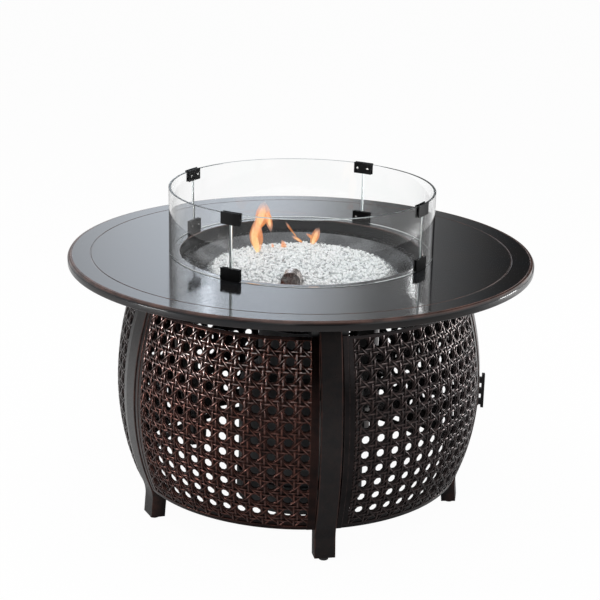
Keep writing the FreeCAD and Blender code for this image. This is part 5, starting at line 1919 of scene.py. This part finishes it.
class Studio:
    """Pale floor, soft light, white surroundings and the camera."""

    CAMERA_PLACE = (-0.5842, -3.3493, 1.5794)
    CAMERA_HEADING = (0.1718, 0.9851)
    CAMERA_DIP = 17.5985
    CAMERA_ROLL = 1.2334
    LENS = 87.48
    SENSOR = 36.0
    WHITE = (1.0, 1.0, 1.0)
    FLOOR_SIZE = 14.0
    FLOOR_TONES = ((0.94, 0.94, 0.94), (0.98, 0.98, 0.98))
    FLOOR_GLOW = 0.97
    # Light levels of the surroundings, and spans of a heading's parts that they fill
    ROOM = 0.025
    INDIRECT = 0.30
    BEHIND = (0.15, 0.6)
    SHEET = 2.33
    SHEET_TINT = (0.92, 1.0, 1.11)
    SHEET_RIGHT = (0.09, -0.03)
    SHEET_LEFT = (-0.34, -0.04)
    SHEET_TOP = (0.62, 0.35)
    SHEET_FOOT = (0.23, 0.31, 0.86, 1.0)
    TAIL = (0.155, 0.06)
    TAIL_SHARE = 0.19
    WALLS = (0.9, 1.7)
    WALL_SIDES = (0.30, 0.55)
    WALL_TOP = (0.95, 0.6)
    WALL_TURN = (-0.3, 0.3)
    # Each streak's middle, half width and light level
    STREAKS = ((-0.0705, 0.011, 3.4), (0.1085, 0.012, 9.0))
    STREAK_RISE = (0.270, 0.286)
    STREAK_FALL = (0.330, 0.314)
    LAMPS = (
        Softbox("overhead_softbox", (-0.3, -0.2, 3.4), (0.0, 0.0, 0.5), 4.6, 4.6, 100.0),
        Softbox("left_softbox", (-2.95, -0.75, 0.43), (0.0, 0.0, 0.43), 0.8, 0.38, 37.0),
        Softbox("right_softbox", (3.05, 0.35, 0.43), (0.0, 0.0, 0.43), 0.8, 0.38, 37.0),
        Softbox("front_softbox", (-1.4, -3.4, 2.4), (0.0, 0.0, 0.3), 1.4, 1.4, 14.0),
    )

    def build_camera(self) -> None:
        """Make the camera at the photographed angle."""
        data = bpy.data.cameras.new("camera")
        data.lens = self.LENS
        data.sensor_width = self.SENSOR
        camera = bpy.data.objects.new("camera", data)
        dip, roll = math.radians(self.CAMERA_DIP), math.radians(self.CAMERA_ROLL)
        across, ahead = self.CAMERA_HEADING
        forward = Vector((across * math.cos(dip), ahead * math.cos(dip), -math.sin(dip)))
        right = forward.cross(Vector((0.0, 0.0, 1.0))).normalized()
        up = right.cross(forward).normalized()
        x_axis = right * math.cos(roll) + up * math.sin(roll)
        y_axis = up * math.cos(roll) - right * math.sin(roll)
        turn = Matrix((x_axis, y_axis, -forward.normalized())).transposed()
        camera.matrix_world = Matrix.Translation(self.CAMERA_PLACE) @ turn.to_4x4()
        bpy.context.scene.collection.objects.link(camera)
        bpy.context.scene.camera = camera

    def build_lamps(self) -> None:
        """Make the soft lamps, which the camera doesn't see."""
        for box in self.LAMPS:
            data = bpy.data.lights.new(box.name, "AREA")
            data.shape = "RECTANGLE"
            data.size = box.width
            data.size_y = box.height
            data.energy = box.power
            lamp = bpy.data.objects.new(box.name, data)
            lamp.location = box.place
            aim = Vector(box.aim) - Vector(box.place)
            lamp.rotation_euler = aim.to_track_quat("-Z", "Y").to_euler()
            lamp.visible_camera = False
            lamp.visible_transmission = False
            bpy.context.scene.collection.objects.link(lamp)

    def sheet_light(self, kit: NodeTree, side: bpy.types.NodeSocket,
                    height: bpy.types.NodeSocket, behind: bpy.types.NodeSocket
                    ) -> bpy.types.NodeSocket:
        """Draw the white sheet behind the table, with its faint tail.

        Args:
            kit: The world's node tree.
            side: The heading's part across.
            height: The heading's part upwards.
            behind: The share that lies behind the table.

        Returns:
            The share of the sheet's light.
        """
        width = kit.math("MULTIPLY", kit.span(side, *self.SHEET_RIGHT),
                         kit.span(side, *self.SHEET_LEFT))
        tail = kit.math("MULTIPLY", kit.span(side, *self.TAIL), self.TAIL_SHARE)
        sheet = kit.math("MULTIPLY", behind, kit.math("MAXIMUM", width, tail))
        sheet = kit.math("MULTIPLY", sheet, kit.span(height, *self.SHEET_TOP))
        return kit.math("MULTIPLY", sheet, kit.span(height, *self.SHEET_FOOT))

    def wall_light(self, kit: NodeTree, side: bpy.types.NodeSocket,
                   height: bpy.types.NodeSocket) -> bpy.types.NodeSocket:
        """Draw the walls at both sides.

        Args:
            kit: The world's node tree.
            side: The heading's part across.
            height: The heading's part upwards.

        Returns:
            The walls' light.
        """
        walls = kit.math("MULTIPLY", kit.span(kit.math("ABSOLUTE", side), *self.WALL_SIDES),
                         kit.span(height, *self.WALL_TOP))
        return kit.math("MULTIPLY", walls, kit.span(side, *self.WALL_TURN, *self.WALLS))

    def add_streaks(self, kit: NodeTree, room: bpy.types.NodeSocket, side: bpy.types.NodeSocket,
                    height: bpy.types.NodeSocket, share: bpy.types.NodeSocket
                    ) -> bpy.types.NodeSocket:
        """Add the narrow bright streaks.

        Args:
            kit: The world's node tree.
            room: The light that they are added to.
            side: The heading's part across.
            height: The heading's part upwards.
            share: The share of them that a ray sees.

        Returns:
            The light with the streaks.
        """
        band = kit.math("MULTIPLY", kit.span(height, *self.STREAK_RISE),
                        kit.span(height, *self.STREAK_FALL))
        band = kit.math("MULTIPLY", band, share)
        for middle, half, level in self.STREAKS:
            off = kit.math("ABSOLUTE", kit.math("SUBTRACT", side, middle))
            streak = kit.math("MULTIPLY", kit.span(off, half, 0.0), band)
            room = kit.math("ADD", room, kit.math("MULTIPLY", streak, level))
        return room

    def build_world(self) -> None:
        """Make the surroundings: white to the camera, a soft studio to reflections."""
        world = bpy.data.worlds.new("studio")
        world.use_nodes = True
        world.node_tree.nodes.clear()
        kit = NodeTree(world.node_tree)
        heading = kit.add("TexCoord").outputs["Generated"]
        parts = kit.add("SeparateXYZ", {0: heading})
        across = Vector((self.CAMERA_HEADING[1], -self.CAMERA_HEADING[0], 0.0))
        side = kit.add("VectorMath", {0: heading, 1: across},
                       operation="DOT_PRODUCT").outputs["Value"]
        height = parts.outputs["Z"]
        behind = kit.span(parts.outputs["Y"], *self.BEHIND)
        rays = kit.add("LightPath")
        sheet = self.sheet_light(kit, side, height, behind)
        room = kit.span(sheet, 0.0, 1.0, self.ROOM, self.SHEET, smooth=False)
        room = kit.math("MAXIMUM", room, self.wall_light(kit, side, height))
        glazed = kit.math("GREATER_THAN", rays.outputs["Transmission Depth"], 0.5)
        room = self.add_streaks(kit, room, side, height, kit.math("MULTIPLY", behind, glazed))
        below = kit.math("LESS_THAN", height, 0.0)
        mirrored = kit.math("GREATER_THAN", rays.outputs["Glossy Depth"], 0.5)
        through = kit.math("MULTIPLY", rays.outputs["Is Transmission Ray"],
                           kit.math("SUBTRACT", 1.0, mirrored))
        mirrored = kit.math("MULTIPLY", mirrored, kit.math(
            "MAXIMUM", rays.outputs["Is Glossy Ray"], rays.outputs["Is Transmission Ray"]))
        shown = kit.math("MAXIMUM", room, below)
        indirect = kit.span(mirrored, 0.0, 1.0, self.INDIRECT, shown, smooth=False)
        direct = kit.math("MAXIMUM", rays.outputs["Is Camera Ray"], through)
        strength = kit.math("MAXIMUM", direct, indirect)
        tint = kit.blend(kit.math("MULTIPLY", sheet, mirrored), self.WHITE, self.SHEET_TINT)
        background = kit.add("Background", {"Color": tint, "Strength": strength})
        output = kit.add("OutputWorld")
        kit.feed(output.inputs["Surface"], background.outputs[0])
        bpy.context.scene.world = world

    def build_floor(self) -> None:
        """Make the pale floor, which keeps a soft shadow."""
        shape = bmesh.new()
        bmesh.ops.create_grid(shape, x_segments=8, y_segments=8, size=self.FLOOR_SIZE)
        mesh = bpy.data.meshes.new("floor")
        shape.to_mesh(mesh)
        shape.free()
        floor = bpy.data.objects.new("floor", mesh)
        bpy.context.scene.collection.objects.link(floor)
        material = bpy.data.materials.new("floor_pale")
        material.use_nodes = True
        material.node_tree.nodes.clear()
        kit = NodeTree(material.node_tree)
        noise = kit.add("TexNoise", {"Vector": kit.add("TexCoord").outputs["Object"], "Scale": 3.0})
        tone = kit.blend(noise.outputs[0], *self.FLOOR_TONES)
        plain = kit.add("BsdfDiffuse", {"Color": tone})
        glow = kit.add("Emission", {"Color": self.WHITE, "Strength": 1.0})
        rays = kit.add("LightPath")
        seen = kit.math("MAXIMUM", rays.outputs["Is Camera Ray"],
                        rays.outputs["Is Transmission Ray"])
        share = kit.math("MULTIPLY", seen, self.FLOOR_GLOW)
        mix = kit.add("MixShader", {0: share, 1: plain.outputs[0], 2: glow.outputs[0]})
        output = kit.add("OutputMaterial")
        kit.feed(output.inputs["Surface"], mix.outputs[0])
        mesh.materials.append(material)

    def build(self) -> None:
        """Set up the whole studio."""
        bpy.context.scene.view_settings.view_transform = "Standard"
        self.build_camera()
        self.build_lamps()
        self.build_world()
        self.build_floor()
        LOG.info("studio ready with %d lamps", len(self.LAMPS))


def main() -> None:
    """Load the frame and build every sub-assembly in order."""
    logging.basicConfig(level=logging.INFO, format="%(name)s: %(message)s")
    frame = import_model()
    effects = Effects()
    for part in (Base, Top, FireBowl, Flames, Guard, Fittings):
        part(effects).build(frame)
    Studio().build()


if __name__ == "__main__":
    main()
